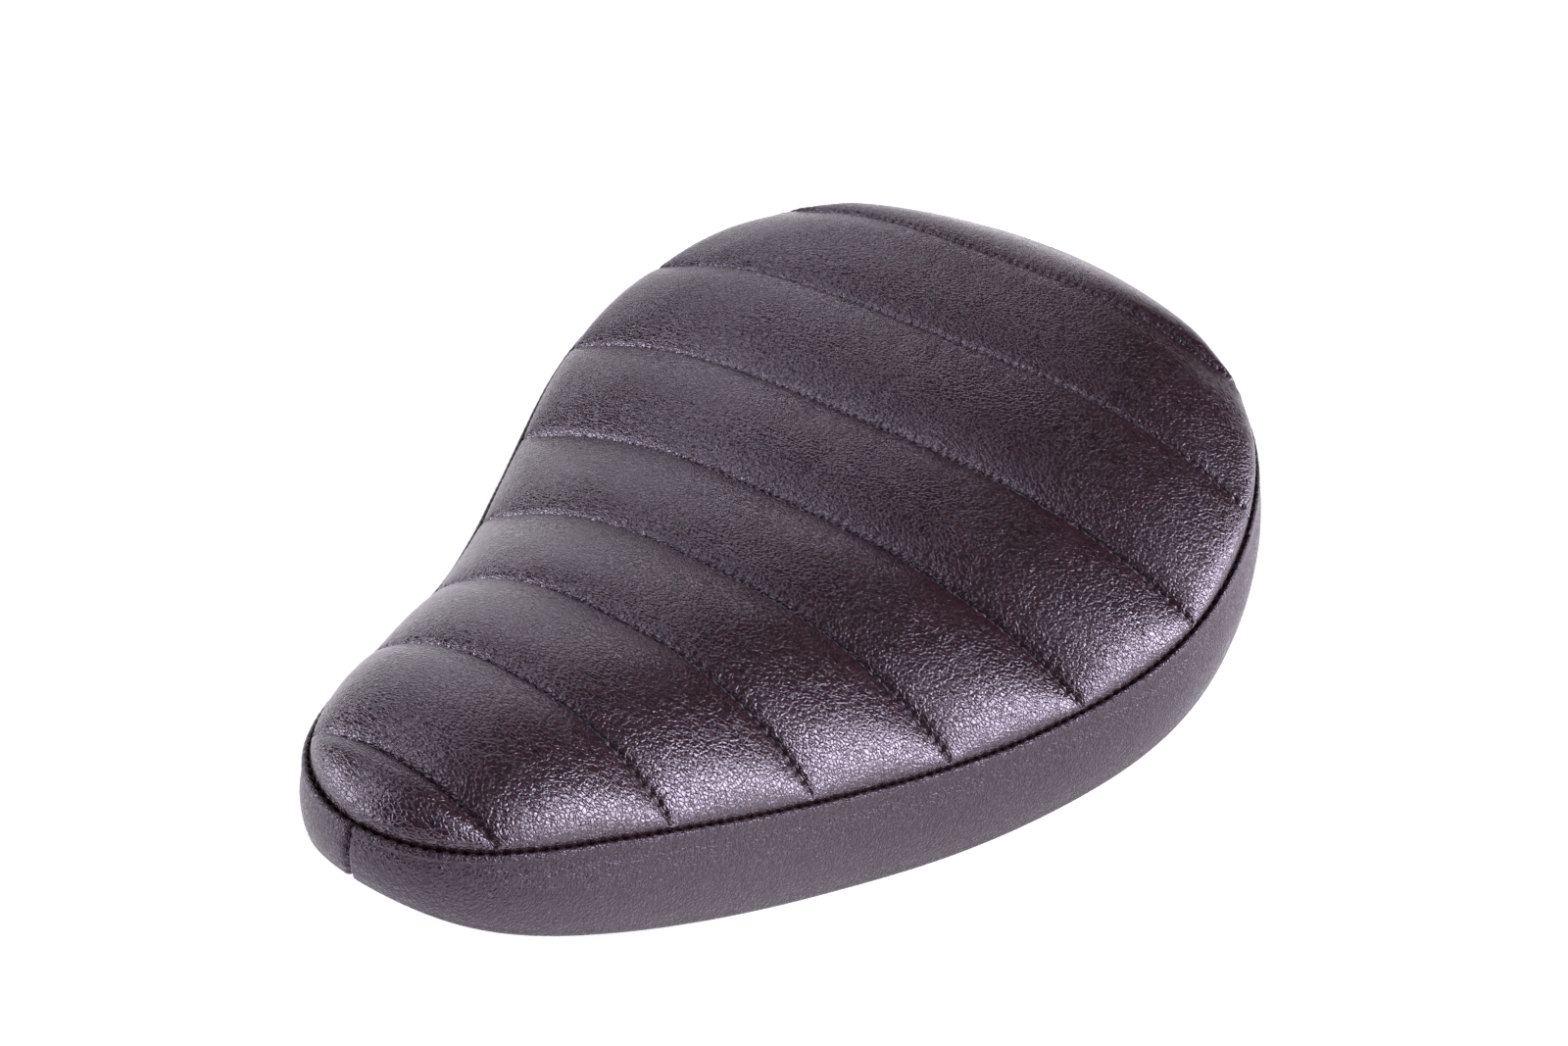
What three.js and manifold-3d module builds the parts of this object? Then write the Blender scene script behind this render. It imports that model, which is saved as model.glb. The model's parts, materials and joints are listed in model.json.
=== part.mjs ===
// Motorcycle solo seat, pear shaped, pleated top in nine cross channels.
// Millimetres, +Z up, nose towards -Y, rider's left towards +X, symmetric about X = 0.
// The seat is drawn in its own seat frame (perimeter seam's nose tip at Y = 0) and then
// pitched and moved as a whole, so that it lies on the lower edges of its side bands.
import * as THREE from 'three';
import { mergeVertices } from 'three/addons/utils/BufferGeometryUtils.js';
import Module from 'manifold-3d';

const wasm = await Module();
wasm.setup();

// ---------- driving dimensions (mm, degrees) ----------
const REST_PITCH = 10.0;          // how far the tail drops when the seat lies on its band edges
// half outline of the perimeter seam, from the nose tip to the tail, with its height
const SEAM_X = [0, 25.2, 42.3, 56.4, 69.8, 85.8, 101.7, 113.4, 113.4, 101.9, 78.0, 41.3, 0];
const SEAM_Y = [0, 10.8, 39.2, 73.7, 107.2, 140.5, 174.8, 208.8, 241.8, 273.7, 299.9, 317.7, 325.5];
const SEAM_Z = [9.6, 7.7, 1.3, -8.2, -15.4, -17.7, -13.8, -4.0, 9.0, 21.3, 30.0, 34.8, 36.3];
const BAND_H = [17.6, 24.3, 30.9, 33.5, 34.2, 34.3, 34.2, 34.0, 32.6, 32.2, 32.5, 32.5, 32.5];
const BAND_FLARE = [1.9, 1.7, 2.7, 2.9, 2.9, 2.9, 3.3, 4.2, 5.4, 5.0, 3.7, 2.9, 2.6];
const FIRST_SEAM = 15.1;          // nose tip to the first cross seam
const CHANNEL_PITCH = 39.9;       // cross seam to cross seam
const SEAM_MID_Z = [15.1, 16.3, 10.6, 6.8, 7.8, 18.1, 32.6, 45.0];   // seam height on the centre line
const SEAM_POWER = [2.34, 2.46, 2.72, 2.64, 2.81, 3.36, 3.9, 3.7];   // how square each seam's arch is
const CHANNEL_PUFF = [4.0, 5.2, 4.6, 5.0, 5.1, 5.0, 4.4, 3.4, 2.4];  // crest over its seams
const COVER_T = 1.8;              // pleated leather
const GAP = 0.4;                  // between soft layers
const PAD_BASE = 3.0;             // sewn foam at a seam
const SCRIM_T = 1.0;
const PAN_T = 2.2;                // pressed steel
const BAND_T = 1.5;               // band leather
const HEM_W = 12.0;               // hem turned under the pan
const RIVET_PITCH = 64.0;         // along the edge
const M8 = 4.0, M8_AF = 13.0, M6 = 3.0, M6_AF = 10.0;   // thread radii and hexagons
const CLEAR = 0.3;                // round every shank
const HINGE_Y = 72.0;             // nose bracket, along the seat
const HINGE_DROP = 14.0;          // base plate to pivot
const FOOT_DROP = 16.0;           // pivot to the foot's lower face
const REAR_STUD_X = 54.0, REAR_STUD_Y = 262.0, STUD_FREE = 27.0;

// ---------- materials ----------
const std = (color, roughness, metalness) => new THREE.MeshStandardMaterial({ color, roughness, metalness });
const LEATHER_TOP = std(0x33242b, 0.42, 0.0);
const LEATHER_BAND = std(0x3b2d35, 0.5, 0.0);
const FOAM = std(0xcfc6a8, 0.95, 0.0);
const SCRIM = std(0xe3ddcf, 0.9, 0.0);
const PAN_BLACK = std(0x141416, 0.45, 0.6);
const ZINC = std(0xb4b8bb, 0.32, 1.0);
const RUBBER = std(0x1b1b1c, 0.8, 0.0);
const NYLON = std(0xe9e6dc, 0.5, 0.0);
const BRONZE = std(0x9c7440, 0.4, 1.0);

// ---------- boolean helpers ----------
function toSolid(geometry) {
  const g = geometry.clone();
  for (const a of ['normal', 'uv', 'color']) g.deleteAttribute(a);
  const m = mergeVertices(g, 1e-4);
  return new wasm.Manifold(new wasm.Mesh({
    numProp: 3,
    vertProperties: new Float32Array(m.attributes.position.array),
    triVerts: new Uint32Array(m.index.array),
  }));
}
function toGeometry(solid) {
  const m = solid.getMesh();
  const g = new THREE.BufferGeometry();
  g.setAttribute('position', new THREE.BufferAttribute(new Float32Array(m.vertProperties), 3));
  g.setIndex(new THREE.BufferAttribute(new Uint32Array(m.triVerts), 1));
  g.computeVertexNormals();
  return g;
}
const cut = (a, ...b) => toGeometry(b.reduce((s, t) => s.subtract(toSolid(t)), toSolid(a)));
const join = (a, ...b) => toGeometry(b.reduce((s, t) => s.add(toSolid(t)), toSolid(a)));

// a cubic curve through the values at 0, 1, 2, ...; odd ends have no bend, even ends no slope
function spline(v, odd) {
  const n = v.length - 1, a = [], b = [], c = [], d = [];
  for (let i = 0; i <= n; i++) {
    if (i === 0) { a[i] = 0; b[i] = odd ? 1 : 2; c[i] = odd ? 0 : 1; d[i] = odd ? 0 : 6 * (v[1] - v[0]); }
    else if (i === n) { a[i] = odd ? 0 : 1; b[i] = odd ? 1 : 2; c[i] = 0; d[i] = odd ? 0 : -6 * (v[n] - v[n - 1]); }
    else { a[i] = 1; b[i] = 4; c[i] = 1; d[i] = 6 * (v[i - 1] - 2 * v[i] + v[i + 1]); }
  }
  for (let i = 1; i <= n; i++) { const w = a[i] / b[i - 1]; b[i] -= w * c[i - 1]; d[i] -= w * d[i - 1]; }
  const m = []; m[n] = d[n] / b[n];
  for (let i = n - 1; i >= 0; i--) m[i] = (d[i] - c[i] * m[i + 1]) / b[i];
  return (t) => {
    const i = Math.min(Math.max(Math.floor(t), 0), n - 1), s = t - i, r = 1 - s;
    return r * v[i] + s * v[i + 1] + ((r ** 3 - r) * m[i] + (s ** 3 - s) * m[i + 1]) / 6;
  };
}
const sX = spline(SEAM_X, true), sY = spline(SEAM_Y, false), sZ = spline(SEAM_Z, false);
const sH = spline(BAND_H, false), sF = spline(BAND_FLARE, false);
const END = SEAM_X.length - 1;
function solve(f, target, lo, hi) {
  const up = f(hi) > f(lo);
  for (let k = 0; k < 50; k++) { const m = (lo + hi) / 2; if ((f(m) < target) === up) lo = m; else hi = m; }
  return (lo + hi) / 2;
}
const tAtY = (y) => solve(sY, y, 0, END);
const seamY = (i) => FIRST_SEAM + CHANNEL_PITCH * i;
const T_FIRST = tAtY(seamY(0)), T_LAST = tAtY(seamY(7));
const lerp = (a, b, s) => a + (b - a) * s;

// height of a cross seam's arch at x
function arch(x, w, zEdge, zMid, p) { return zEdge + (zMid - zEdge) * (1 - (Math.abs(x) / w) ** p); }
function seamArch(i, x) { const t = tAtY(seamY(i)); return arch(x, sX(t), sZ(t), SEAM_MID_Z[i], SEAM_POWER[i]); }
// height of the smooth sheet that all the seams lie in
function sheet(x, y) {
  const ax = Math.abs(x);
  if (y < seamY(0) || y > seamY(7)) {
    const nose = y < seamY(0), i = nose ? 0 : 7;
    const wMax = sX(nose ? T_FIRST : T_LAST);
    const t = nose ? solve(sX, Math.min(ax, wMax), 0, T_FIRST) : solve(sX, Math.min(ax, wMax), END, T_LAST);
    const span = sY(t) - seamY(i), v = Math.min(Math.max((y - seamY(i)) / (Math.abs(span) < 0.5 ? Math.sign(span || 1) * 0.5 : span), 0), 1.4);
    return lerp(seamArch(i, ax), sZ(t), v ** 2.2);
  }
  const j = Math.min(Math.floor((y - FIRST_SEAM) / CHANNEL_PITCH), 6), s = (y - seamY(j)) / CHANNEL_PITCH;
  const t = tAtY(y);
  return arch(ax, sX(t), sZ(t), lerp(SEAM_MID_Z[j], SEAM_MID_Z[j + 1], s), lerp(SEAM_POWER[j], SEAM_POWER[j + 1], s));
}
function puff(x, y) {
  const ax = Math.abs(x), w = sX(tAtY(y));
  const inset = Math.min(Math.max((w - ax) / 14.7, 0), 1), side = Math.sqrt(Math.max(1 - (1 - inset) ** 2, 0));
  if (y < seamY(0) || y > seamY(7)) {
    const nose = y < seamY(0), wMax = sX(nose ? T_FIRST : T_LAST), i = nose ? 0 : 7;
    const t = nose ? solve(sX, Math.min(ax, wMax), 0, T_FIRST) : solve(sX, Math.min(ax, wMax), END, T_LAST);
    const span = Math.abs(sY(t) - seamY(i)), v = Math.min(Math.max(Math.abs(y - seamY(i)) / Math.max(span, 0.5), 0), 1);
    return CHANNEL_PUFF[nose ? 0 : 8] * Math.min(span / 15, 1) * (4 * v * (1 - v)) ** 0.6;
  }
  const j = Math.min(Math.floor((y - FIRST_SEAM) / CHANNEL_PITCH), 6), v = (y - seamY(j)) / CHANNEL_PITCH;
  return CHANNEL_PUFF[j + 1] * Math.max(4 * v * (1 - v), 0) ** 0.65 * side;
}
// upper face of the pan: follows the sheet at the depth of the foam
function panTop(x, y) {
  const t = tAtY(Math.min(Math.max(y, 0.01), SEAM_Y[END] - 0.01)), w = Math.max(sX(t), 0.5), u = Math.min(Math.abs(x) / w, 1.2);
  const mid = sheet(0, y), rise = Math.max(mid - sZ(t), 0);
  return sheet(Math.min(Math.abs(x), w * 1.04), y) - (sH(t) - 6.2) - 0.2 * rise * Math.max(1 - u ** 3, 0);
}

// outward normal of the half outline, in plan
function outward(t) {
  if (t <= 0) return new THREE.Vector2(0, -1);
  if (t >= END) return new THREE.Vector2(0, 1);
  const e = 1e-3, a = Math.max(t - e, 0), b = Math.min(t + e, END);
  return new THREE.Vector2(sY(b) - sY(a), -(sX(b) - sX(a))).normalize();
}

// ---------- the lattice that every soft layer and the pan share ----------
const COLS = [0, 0.3, 0.58, 0.82, 1];
const EDGE_IN = 3.0;              // inner layers stop this far inside the perimeter seam
const rowsY = [0.6, 2.6, 6.0, 10.2];
for (let i = 0; i < 8; i++) { rowsY.push(seamY(i)); if (i < 7) rowsY.push(seamY(i) + CHANNEL_PITCH / 3, seamY(i) + 2 * CHANNEL_PITCH / 3); }
rowsY.push(303, 311, 317.7, 322.4, 325.0);
function makeRow(y) {
  const t = tAtY(y), w = sX(t), inner = Math.max(w - EDGE_IN, 0.6 * w), xs = [];
  for (let k = COLS.length - 1; k > 0; k--) xs.push(-COLS[k] * inner);
  for (const c of COLS) xs.push(c * inner);
  const n = outward(t), pt = (x, yy = y) => ({ x, y: yy, sheet: sheet(x, yy), top: sheet(x, yy) + puff(x, yy), pan: panTop(x, yy) });
  const side = (o) => [-1, 1].map((s) => pt(s * (w + n.x * o), y + n.y * o));
  const line = xs.map((x) => pt(x)), c = side(-0.55), r = side(sF(t) - 2.4);
  return { y, inner: line, cover: [c[0], ...line, c[1]], pan: [r[0], ...line, r[1]] };
}
const rows = rowsY.map(makeRow);
function between(a, b, s) {
  const mix = (p, q) => ({ x: lerp(p.x, q.x, s), y: lerp(p.y, q.y, s), sheet: lerp(p.sheet, q.sheet, s), top: lerp(p.top, q.top, s), pan: lerp(p.pan, q.pan, s) });
  return { y: lerp(a.y, b.y, s), inner: a.inner.map((p, k) => mix(p, b.inner[k])), cover: a.cover.map((p, k) => mix(p, b.cover[k])), pan: a.pan.map((p, k) => mix(p, b.pan[k])) };
}
// a closed slab over lattice rows: upper and lower faces are functions of a lattice point
function slab(rowList, key, up, low) {
  const R = rowList.length, C = rowList[0][key].length, pos = [], idx = [];
  for (const f of [up, low]) for (const r of rowList) for (const p of r[key]) pos.push(p.x, p.y, f(p));
  const at = (side, r, c) => side * R * C + r * C + c, half = (C - 1) / 2;
  const quad = (a, b, c, d) => idx.push(a, b, c, a, c, d);
  for (let r = 0; r < R - 1; r++) for (let c = 0; c < C - 1; c++) {
    const q = [[r, c], [r, c + 1], [r + 1, c + 1], [r + 1, c]];
    if (c < half) { // diagonals mirror about the centre line
      const [a, b, d, e] = q.map(([i, j]) => at(0, i, j)); idx.push(a, b, e, b, d, e);
      const [f, g, h, k] = q.map(([i, j]) => at(1, i, j)); idx.push(f, k, g, g, k, h);
    } else {
      const [a, b, d, e] = q.map(([i, j]) => at(0, i, j)); idx.push(a, b, d, a, d, e);
      const [f, g, h, k] = q.map(([i, j]) => at(1, i, j)); idx.push(f, h, g, f, k, h);
    }
  }
  for (let c = 0; c < C - 1; c++) { quad(at(1, 0, c), at(1, 0, c + 1), at(0, 0, c + 1), at(0, 0, c)); quad(at(0, R - 1, c), at(0, R - 1, c + 1), at(1, R - 1, c + 1), at(1, R - 1, c)); }
  for (let r = 0; r < R - 1; r++) { quad(at(0, r, 0), at(0, r + 1, 0), at(1, r + 1, 0), at(1, r, 0)); quad(at(1, r, C - 1), at(1, r + 1, C - 1), at(0, r + 1, C - 1), at(0, r, C - 1)); }
  const g = new THREE.BufferGeometry();
  g.setAttribute('position', new THREE.BufferAttribute(new Float32Array(pos), 3));
  g.setIndex(idx);
  g.computeVertexNormals();
  return g;
}
// the pan's underside as its facets really lie, for what has to clear it
function panUnder(x, y) {
  let r = 0; while (r < rows.length - 2 && rows[r + 1].y < y) r++;
  const s = Math.min(Math.max((y - rows[r].y) / (rows[r + 1].y - rows[r].y), 0), 1), line = between(rows[r], rows[r + 1], s).pan;
  let c = 0; while (c < line.length - 2 && line[c + 1].x < x) c++;
  const q = Math.min(Math.max((x - line[c].x) / (line[c + 1].x - line[c].x), -0.3), 1.3);
  return lerp(line[c].pan, line[c + 1].pan, q) - PAN_T;
}

// ---------- group ----------
const seat = new THREE.Group();
function add(name, geometry, material, parent = seat) {
  const mesh = new THREE.Mesh(geometry, material.clone());
  mesh.name = name;
  parent.add(mesh);
  return mesh;
}
const place = (geometry, frame) => geometry.clone().applyMatrix4(frame);

// ---------- hardware shapes, in local frames with +Z into the seat ----------
function hexNut(af, hole, h) {
  const s = new THREE.Shape();
  for (let k = 0; k < 6; k++) { const a = Math.PI / 6 + k * Math.PI / 3, r = af / Math.sqrt(3); k ? s.lineTo(r * Math.cos(a), r * Math.sin(a)) : s.moveTo(r * Math.cos(a), r * Math.sin(a)); }
  s.closePath();
  const p = new THREE.Path(); p.absarc(0, 0, hole, 0, 2 * Math.PI, true); s.holes.push(p);
  return new THREE.ExtrudeGeometry(s, { depth: h, bevelEnabled: false, curveSegments: 6 });
}
function ring(rOut, rIn, h, seg = 14) {
  const pts = [[rIn, 0], [rOut, 0], [rOut, h], [rIn, h], [rIn, 0]].map(([x, y]) => new THREE.Vector2(x, y));
  const g = new THREE.LatheGeometry(pts, seg); g.rotateX(Math.PI / 2); return g;
}
function turned(profile, seg = 12) {   // profile of [radius, z], from the axis back to the axis
  const g = new THREE.LatheGeometry(profile.map(([r, z]) => new THREE.Vector2(r, z)), seg);
  g.rotateX(Math.PI / 2); return g;
}
const drill = (r, z0, z1, seg = 12) => { const g = new THREE.CylinderGeometry(r, r, z1 - z0, seg); g.rotateX(Math.PI / 2); g.translate(0, 0, (z0 + z1) / 2); return g; };

// local frame on the pan's underside, leaning with the pan's fall along Y only or both ways
function frameAt(x, y, leanX = false) {
  const e = 6, dy = (panUnder(x, y + e) - panUnder(x, y - e)) / (2 * e), dx = leanX ? (panUnder(x + e, y) - panUnder(x - e, y)) / (2 * e) : 0;
  const n = new THREE.Vector3(-dx, -dy, 1).normalize(), ex = new THREE.Vector3(1, 0, dx).normalize();
  const ey = new THREE.Vector3().crossVectors(n, ex).normalize();
  return new THREE.Matrix4().makeBasis(new THREE.Vector3().crossVectors(ey, n), ey, n).setPosition(x, y, panUnder(x, y));
}
// lowest point of the pan's underside over a rectangle, in a local frame
function lowest(frame, hx, hy) {
  const inv = frame.clone().invert(); let low = 1e9;
  for (let i = -4; i <= 4; i++) for (let j = -4; j <= 4; j++) {
    const p = new THREE.Vector3(i / 4 * hx, j / 4 * hy, 0).applyMatrix4(frame);
    low = Math.min(low, new THREE.Vector3(p.x, p.y, panUnder(p.x, p.y)).applyMatrix4(inv).z);
  }
  return low;
}

const panCuts = [], foamCuts = [], bandCuts = [];

// ---------- nose hinge ----------
const noseFrame = frameAt(0, HINGE_Y);
const BASE_X = 46, BASE_Y = 52, padBottom = lowest(noseFrame, BASE_X / 2, BASE_Y / 2) - 1.6;
const plateTop = padBottom - CLEAR, plateBottom = plateTop - 3;
const pivotZ = plateBottom - HINGE_DROP;
const NOSE_BOLT_Y = 20;
{
  const hinge = new THREE.Group(); noseFrame.decompose(hinge.position, hinge.quaternion, hinge.scale); seat.add(hinge);
  const bolts = [['front', -NOSE_BOLT_Y], ['rear', NOSE_BOLT_Y]];
  const holes = (r) => bolts.map(([, y]) => { const g = drill(r, -40, 20); g.translate(0, y, 0); return g; });
  // rubber pad that fills between the domed pan and the flat bracket
  const block = new THREE.BoxGeometry(BASE_X, BASE_Y, 8 - padBottom); block.translate(0, 0, (8 + padBottom) / 2);
  const under = place(slab(rows, 'pan', () => 60, (p) => p.pan - PAN_T - 0.35), noseFrame.clone().invert());
  add('nose_rubber_pad', cut(block, under, ...holes(M6 + 0.5)), RUBBER, hinge);
  // clevis: base plate with two ears
  const base = new THREE.BoxGeometry(BASE_X, BASE_Y, 3); base.translate(0, 0, plateTop - 1.5);
  const ear = new THREE.Shape();
  ear.moveTo(-15, plateTop - 1); ear.lineTo(-8.8, pivotZ - 2); ear.absarc(0, pivotZ, 9, Math.PI + 0.22, 2 * Math.PI - 0.22, false); ear.lineTo(15, plateTop - 1); ear.closePath();
  const bore = new THREE.Path(); bore.absarc(0, pivotZ, M8 + CLEAR, 0, 2 * Math.PI, true); ear.holes.push(bore);
  const ears = [8.5, -11.5].map((x) => { const g = new THREE.ExtrudeGeometry(ear, { depth: 3, bevelEnabled: false, curveSegments: 8 }); g.rotateX(Math.PI / 2); g.rotateZ(Math.PI / 2); g.translate(x, 0, 0); return g; });
  add('nose_bracket', cut(join(base, ...ears), ...holes(M6 + CLEAR)), PAN_BLACK, hinge);
  // two cup-head bolts from inside the pan, with washer and nut
  for (const [side, y] of bolts) {
    const top = PAN_T + 1.0;
    const bolt = turned([[0, plateBottom - 10], [M6 - 0.5, plateBottom - 10], [M6, plateBottom - 9.5], [M6, top], [7, top], [6.2, top + 2.2], [3.2, top + 3.4], [0, top + 3.6]]);
    bolt.translate(0, y, 0); add(`nose_bolt_${side}`, bolt, ZINC, hinge);
    const washer = ring(6.4, M6 + CLEAR, 1.2); washer.translate(0, y, plateBottom - CLEAR - 1.2); add(`nose_washer_${side}`, washer, ZINC, hinge);
    const nut = hexNut(M6_AF, M6 + CLEAR, 5); nut.translate(0, y, plateBottom - 2 * CLEAR - 6.2); add(`nose_nut_${side}`, nut, ZINC, hinge);
    const hole = drill(M6 + 0.6, -30, 12); hole.translate(0, y, 0); panCuts.push(place(hole, noseFrame));
    const pocket = drill(7.6, -2, top + 4.4); pocket.translate(0, y, 0); foamCuts.push(place(pocket, noseFrame));
  }
  // pivot bolt across the ears, its lock nut, bush and two thrust washers
  const across = (g) => { g.rotateY(Math.PI / 2); g.translate(0, 0, pivotZ); return g; };
  const shank = turned([[0, -12.0], [M8, -12.0], [M8, 21.4], [M8 - 0.7, 22.2], [0, 22.2]], 14);
  const head = hexNut(M8_AF, 1, 5.3); head.translate(0, 0, -17.1);
  const core = turned([[0, -17.1], [2, -17.1], [2, -11.9], [0, -11.9]], 8);
  add('pivot_bolt', across(join(shank, head, core)), ZINC, hinge);
  const lock = hexNut(M8_AF, M8 + CLEAR, 8); lock.translate(0, 0, 12.2); add('pivot_lock_nut', across(lock), ZINC, hinge);
  add('pivot_bush', across((() => { const g = ring(5.6, M8 + CLEAR, 13.8); g.translate(0, 0, -6.9); return g; })()), BRONZE, hinge);
  for (const [side, z] of [['left', 7.2], ['right', -8.2]]) { const w = ring(8.4, M8 + CLEAR, 1.0); w.translate(0, 0, z); add(`pivot_washer_${side}`, across(w), NYLON, hinge); }
}
// frame bracket: boss, web and foot, hangs from the pivot with its foot level
{
  const pivot = new THREE.Vector3(0, 0, pivotZ).applyMatrix4(noseFrame);
  const swing = new THREE.Group(); swing.position.copy(pivot); swing.rotation.x = THREE.MathUtils.degToRad(REST_PITCH); seat.add(swing);
  const bossSolid = turned([[0, -6.9], [9, -6.9], [9, 6.9], [0, 6.9]], 18); bossSolid.rotateY(Math.PI / 2);
  const web = new THREE.BoxGeometry(8, 12, 8); web.translate(0, 0, -9);
  const foot = new THREE.Shape(); const fx = 14, fy = 20, r = 4;
  foot.moveTo(-fx + r, -fy); foot.lineTo(fx - r, -fy); foot.absarc(fx - r, -fy + r, r, -Math.PI / 2, 0, false); foot.lineTo(fx, fy - r); foot.absarc(fx - r, fy - r, r, 0, Math.PI / 2, false);
  foot.lineTo(-fx + r, fy); foot.absarc(-fx + r, fy - r, r, Math.PI / 2, Math.PI, false); foot.lineTo(-fx, -fy + r); foot.absarc(-fx + r, -fy + r, r, Math.PI, 1.5 * Math.PI, false);
  for (const y of [-13, 13]) { const h = new THREE.Path(); h.absarc(0, y, M6 + 0.3, 0, 2 * Math.PI, true); foot.holes.push(h); }
  const plate = new THREE.ExtrudeGeometry(foot, { depth: 4, bevelEnabled: false, curveSegments: 5 }); plate.translate(0, 0, -FOOT_DROP);
  const bore = drill(5.9, -10, 10, 14); bore.rotateY(Math.PI / 2);
  add('frame_bracket', cut(join(bossSolid, web, plate), bore), PAN_BLACK, swing);
}

// ---------- rear studs ----------
const rear = [];
for (const [side, sx] of [['left', 1], ['right', -1]]) {
  const frame = frameAt(REAR_STUD_X, REAR_STUD_Y); if (sx < 0) frame.setPosition(-REAR_STUD_X, REAR_STUD_Y, panUnder(REAR_STUD_X, REAR_STUD_Y));
  const g = new THREE.Group(); frame.decompose(g.position, g.quaternion, g.scale); seat.add(g); rear.push(frame);
  const top = lowest(frame, 19, 19) - 0.4, bottom = top - 3;
  const outline = new THREE.Shape(); const h = 18, c = 5;
  outline.moveTo(-h + c, -h); outline.lineTo(h - c, -h); outline.lineTo(h, -h + c); outline.lineTo(h, h - c); outline.lineTo(h - c, h); outline.lineTo(-h + c, h); outline.lineTo(-h, h - c); outline.lineTo(-h, -h + c); outline.closePath();
  const bore = new THREE.Path(); bore.absarc(0, 0, M8 + CLEAR, 0, 2 * Math.PI, true); outline.holes.push(bore);
  const plate = new THREE.ExtrudeGeometry(outline, { depth: 3, bevelEnabled: false, curveSegments: 7 }); plate.translate(0, 0, bottom);
  add(`rear_plate_${side}`, plate, PAN_BLACK, g);
  const seatZ = PAN_T + 1.2, end = bottom - STUD_FREE;
  add(`rear_stud_${side}`, turned([[0, end], [M8 - 0.8, end], [M8, end + 0.9], [M8, seatZ], [9, seatZ], [8, seatZ + 2.4], [4.5, seatZ + 4], [0, seatZ + 4.3]], 14), ZINC, g);
  let z = bottom - CLEAR - 4.5;
  const jam = hexNut(M8_AF, M8 + CLEAR, 4.5); jam.translate(0, 0, z); add(`rear_jam_nut_${side}`, jam, ZINC, g);
  z -= CLEAR + 1.6; const washer = ring(8.5, M8 + CLEAR, 1.6); washer.translate(0, 0, z); add(`rear_washer_${side}`, washer, ZINC, g);
  z -= CLEAR + 7; const nut = hexNut(M8_AF, M8 + CLEAR, 7); nut.translate(0, 0, z); add(`rear_nut_${side}`, nut, ZINC, g);
  panCuts.push(place(drill(M8 + 0.6, -12, 12), frame)); foamCuts.push(place(drill(9.8, -4, seatZ + 5.2), frame));
}

// ---------- side bands with their hems ----------
const T_STATIONS = rowsY.map(tAtY);
function bandProfile(t, x, y) {
  const n = outward(t);
  const z = sZ(t), h = sH(t), f = sF(t), zb = z - h;
  const bulge = (q) => 1.6 * Math.sin(Math.PI * q ** 0.8) + f * (1 - (1 - q) ** 2);
  const under = (o) => panUnder(x + n.x * o, y + n.y * o) - 0.65;
  const hemIn = -HEM_W + f, hemMid = -HEM_W / 2 + f - 0.5, rim = f - 2.6;
  const zr = Math.min(under(rim), zb + BAND_T + 0.2), zm = Math.min(under(hemMid), under(hemMid)), zi = under(hemIn);
  const P = [
    [-0.1, z - 0.6], [0.3, z + 0.5], [1.1, z + 0.65], [1.8, z - 0.9],
    [bulge(0.25) + 0.2, z - 0.25 * h], [bulge(0.5), z - 0.5 * h], [bulge(0.75), z - 0.75 * h], [bulge(0.93) - 0.2, z - 0.93 * h],
    [f - 1.3, Math.min(zb, zr - BAND_T + 0.1)], [hemMid, zm - BAND_T], [hemIn, zi - BAND_T], [hemIn, zi], [hemMid, zm], [f - 2.2, zr],
    [bulge(0.88) - BAND_T - 0.1, z - 0.88 * h + 0.6], [bulge(0.5) - BAND_T, z - 0.5 * h], [bulge(0.2) - BAND_T + 0.1, z - 0.2 * h],
  ];
  return P.map(([o, zz]) => [x + n.x * o, y + n.y * o, zz]);
}
function band(sign) {
  const ts = [0, ...T_STATIONS, END];
  const rings = ts.map((t) => bandProfile(t, sX(t), sY(t)));
  for (const p of rings[0]) p[0] = 0.2; for (const p of rings[rings.length - 1]) p[0] = 0.2;
  for (const g of rings) for (const p of g) p[0] = Math.max(p[0], 0.2);
  const K = rings[0].length, pos = [], idx = [];
  for (const g of rings) for (const p of g) pos.push(p[0] * sign, p[1], p[2]);
  const tri = (a, b, c) => (sign > 0 ? idx.push(a, b, c) : idx.push(a, c, b));
  for (let i = 0; i < rings.length - 1; i++) for (let k = 0; k < K; k++) {
    const a = i * K + k, b = i * K + (k + 1) % K, c = a + K, d = b + K;
    tri(a, b, d); tri(a, d, c);
  }
  // end faces, cut from the profile's outline
  for (const [i, first] of [[0, true], [rings.length - 1, false]]) {
    const flat = rings[i].map((p) => new THREE.Vector2(p[1], p[2]));
    const whole = THREE.ShapeUtils.area(flat);
    for (const [a, b, c] of THREE.ShapeUtils.triangulateShape(flat.slice(), [])) {
      const same = THREE.ShapeUtils.area([flat[a], flat[b], flat[c]]) * whole > 0;
      if (same !== first) tri(i * K + a, i * K + b, i * K + c); else tri(i * K + a, i * K + c, i * K + b);
    }
  }
  const g = new THREE.BufferGeometry();
  g.setAttribute('position', new THREE.BufferAttribute(new Float32Array(pos), 3));
  g.setIndex(idx);
  return g;
}
function signedVolume(g) {
  const p = g.attributes.position, ix = g.index; let v = 0; const a = new THREE.Vector3(), b = new THREE.Vector3(), c = new THREE.Vector3();
  for (let i = 0; i < ix.count; i += 3) { a.fromBufferAttribute(p, ix.getX(i)); b.fromBufferAttribute(p, ix.getX(i + 1)); c.fromBufferAttribute(p, ix.getX(i + 2)); v += a.dot(b.cross(c)) / 6; }
  return v;
}
function facingOut(g) {
  if (signedVolume(g) < 0) { const a = g.index.array; for (let i = 0; i < a.length; i += 3) { const t = a[i]; a[i] = a[i + 1]; a[i + 1] = t; } }
  return g;
}

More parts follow.
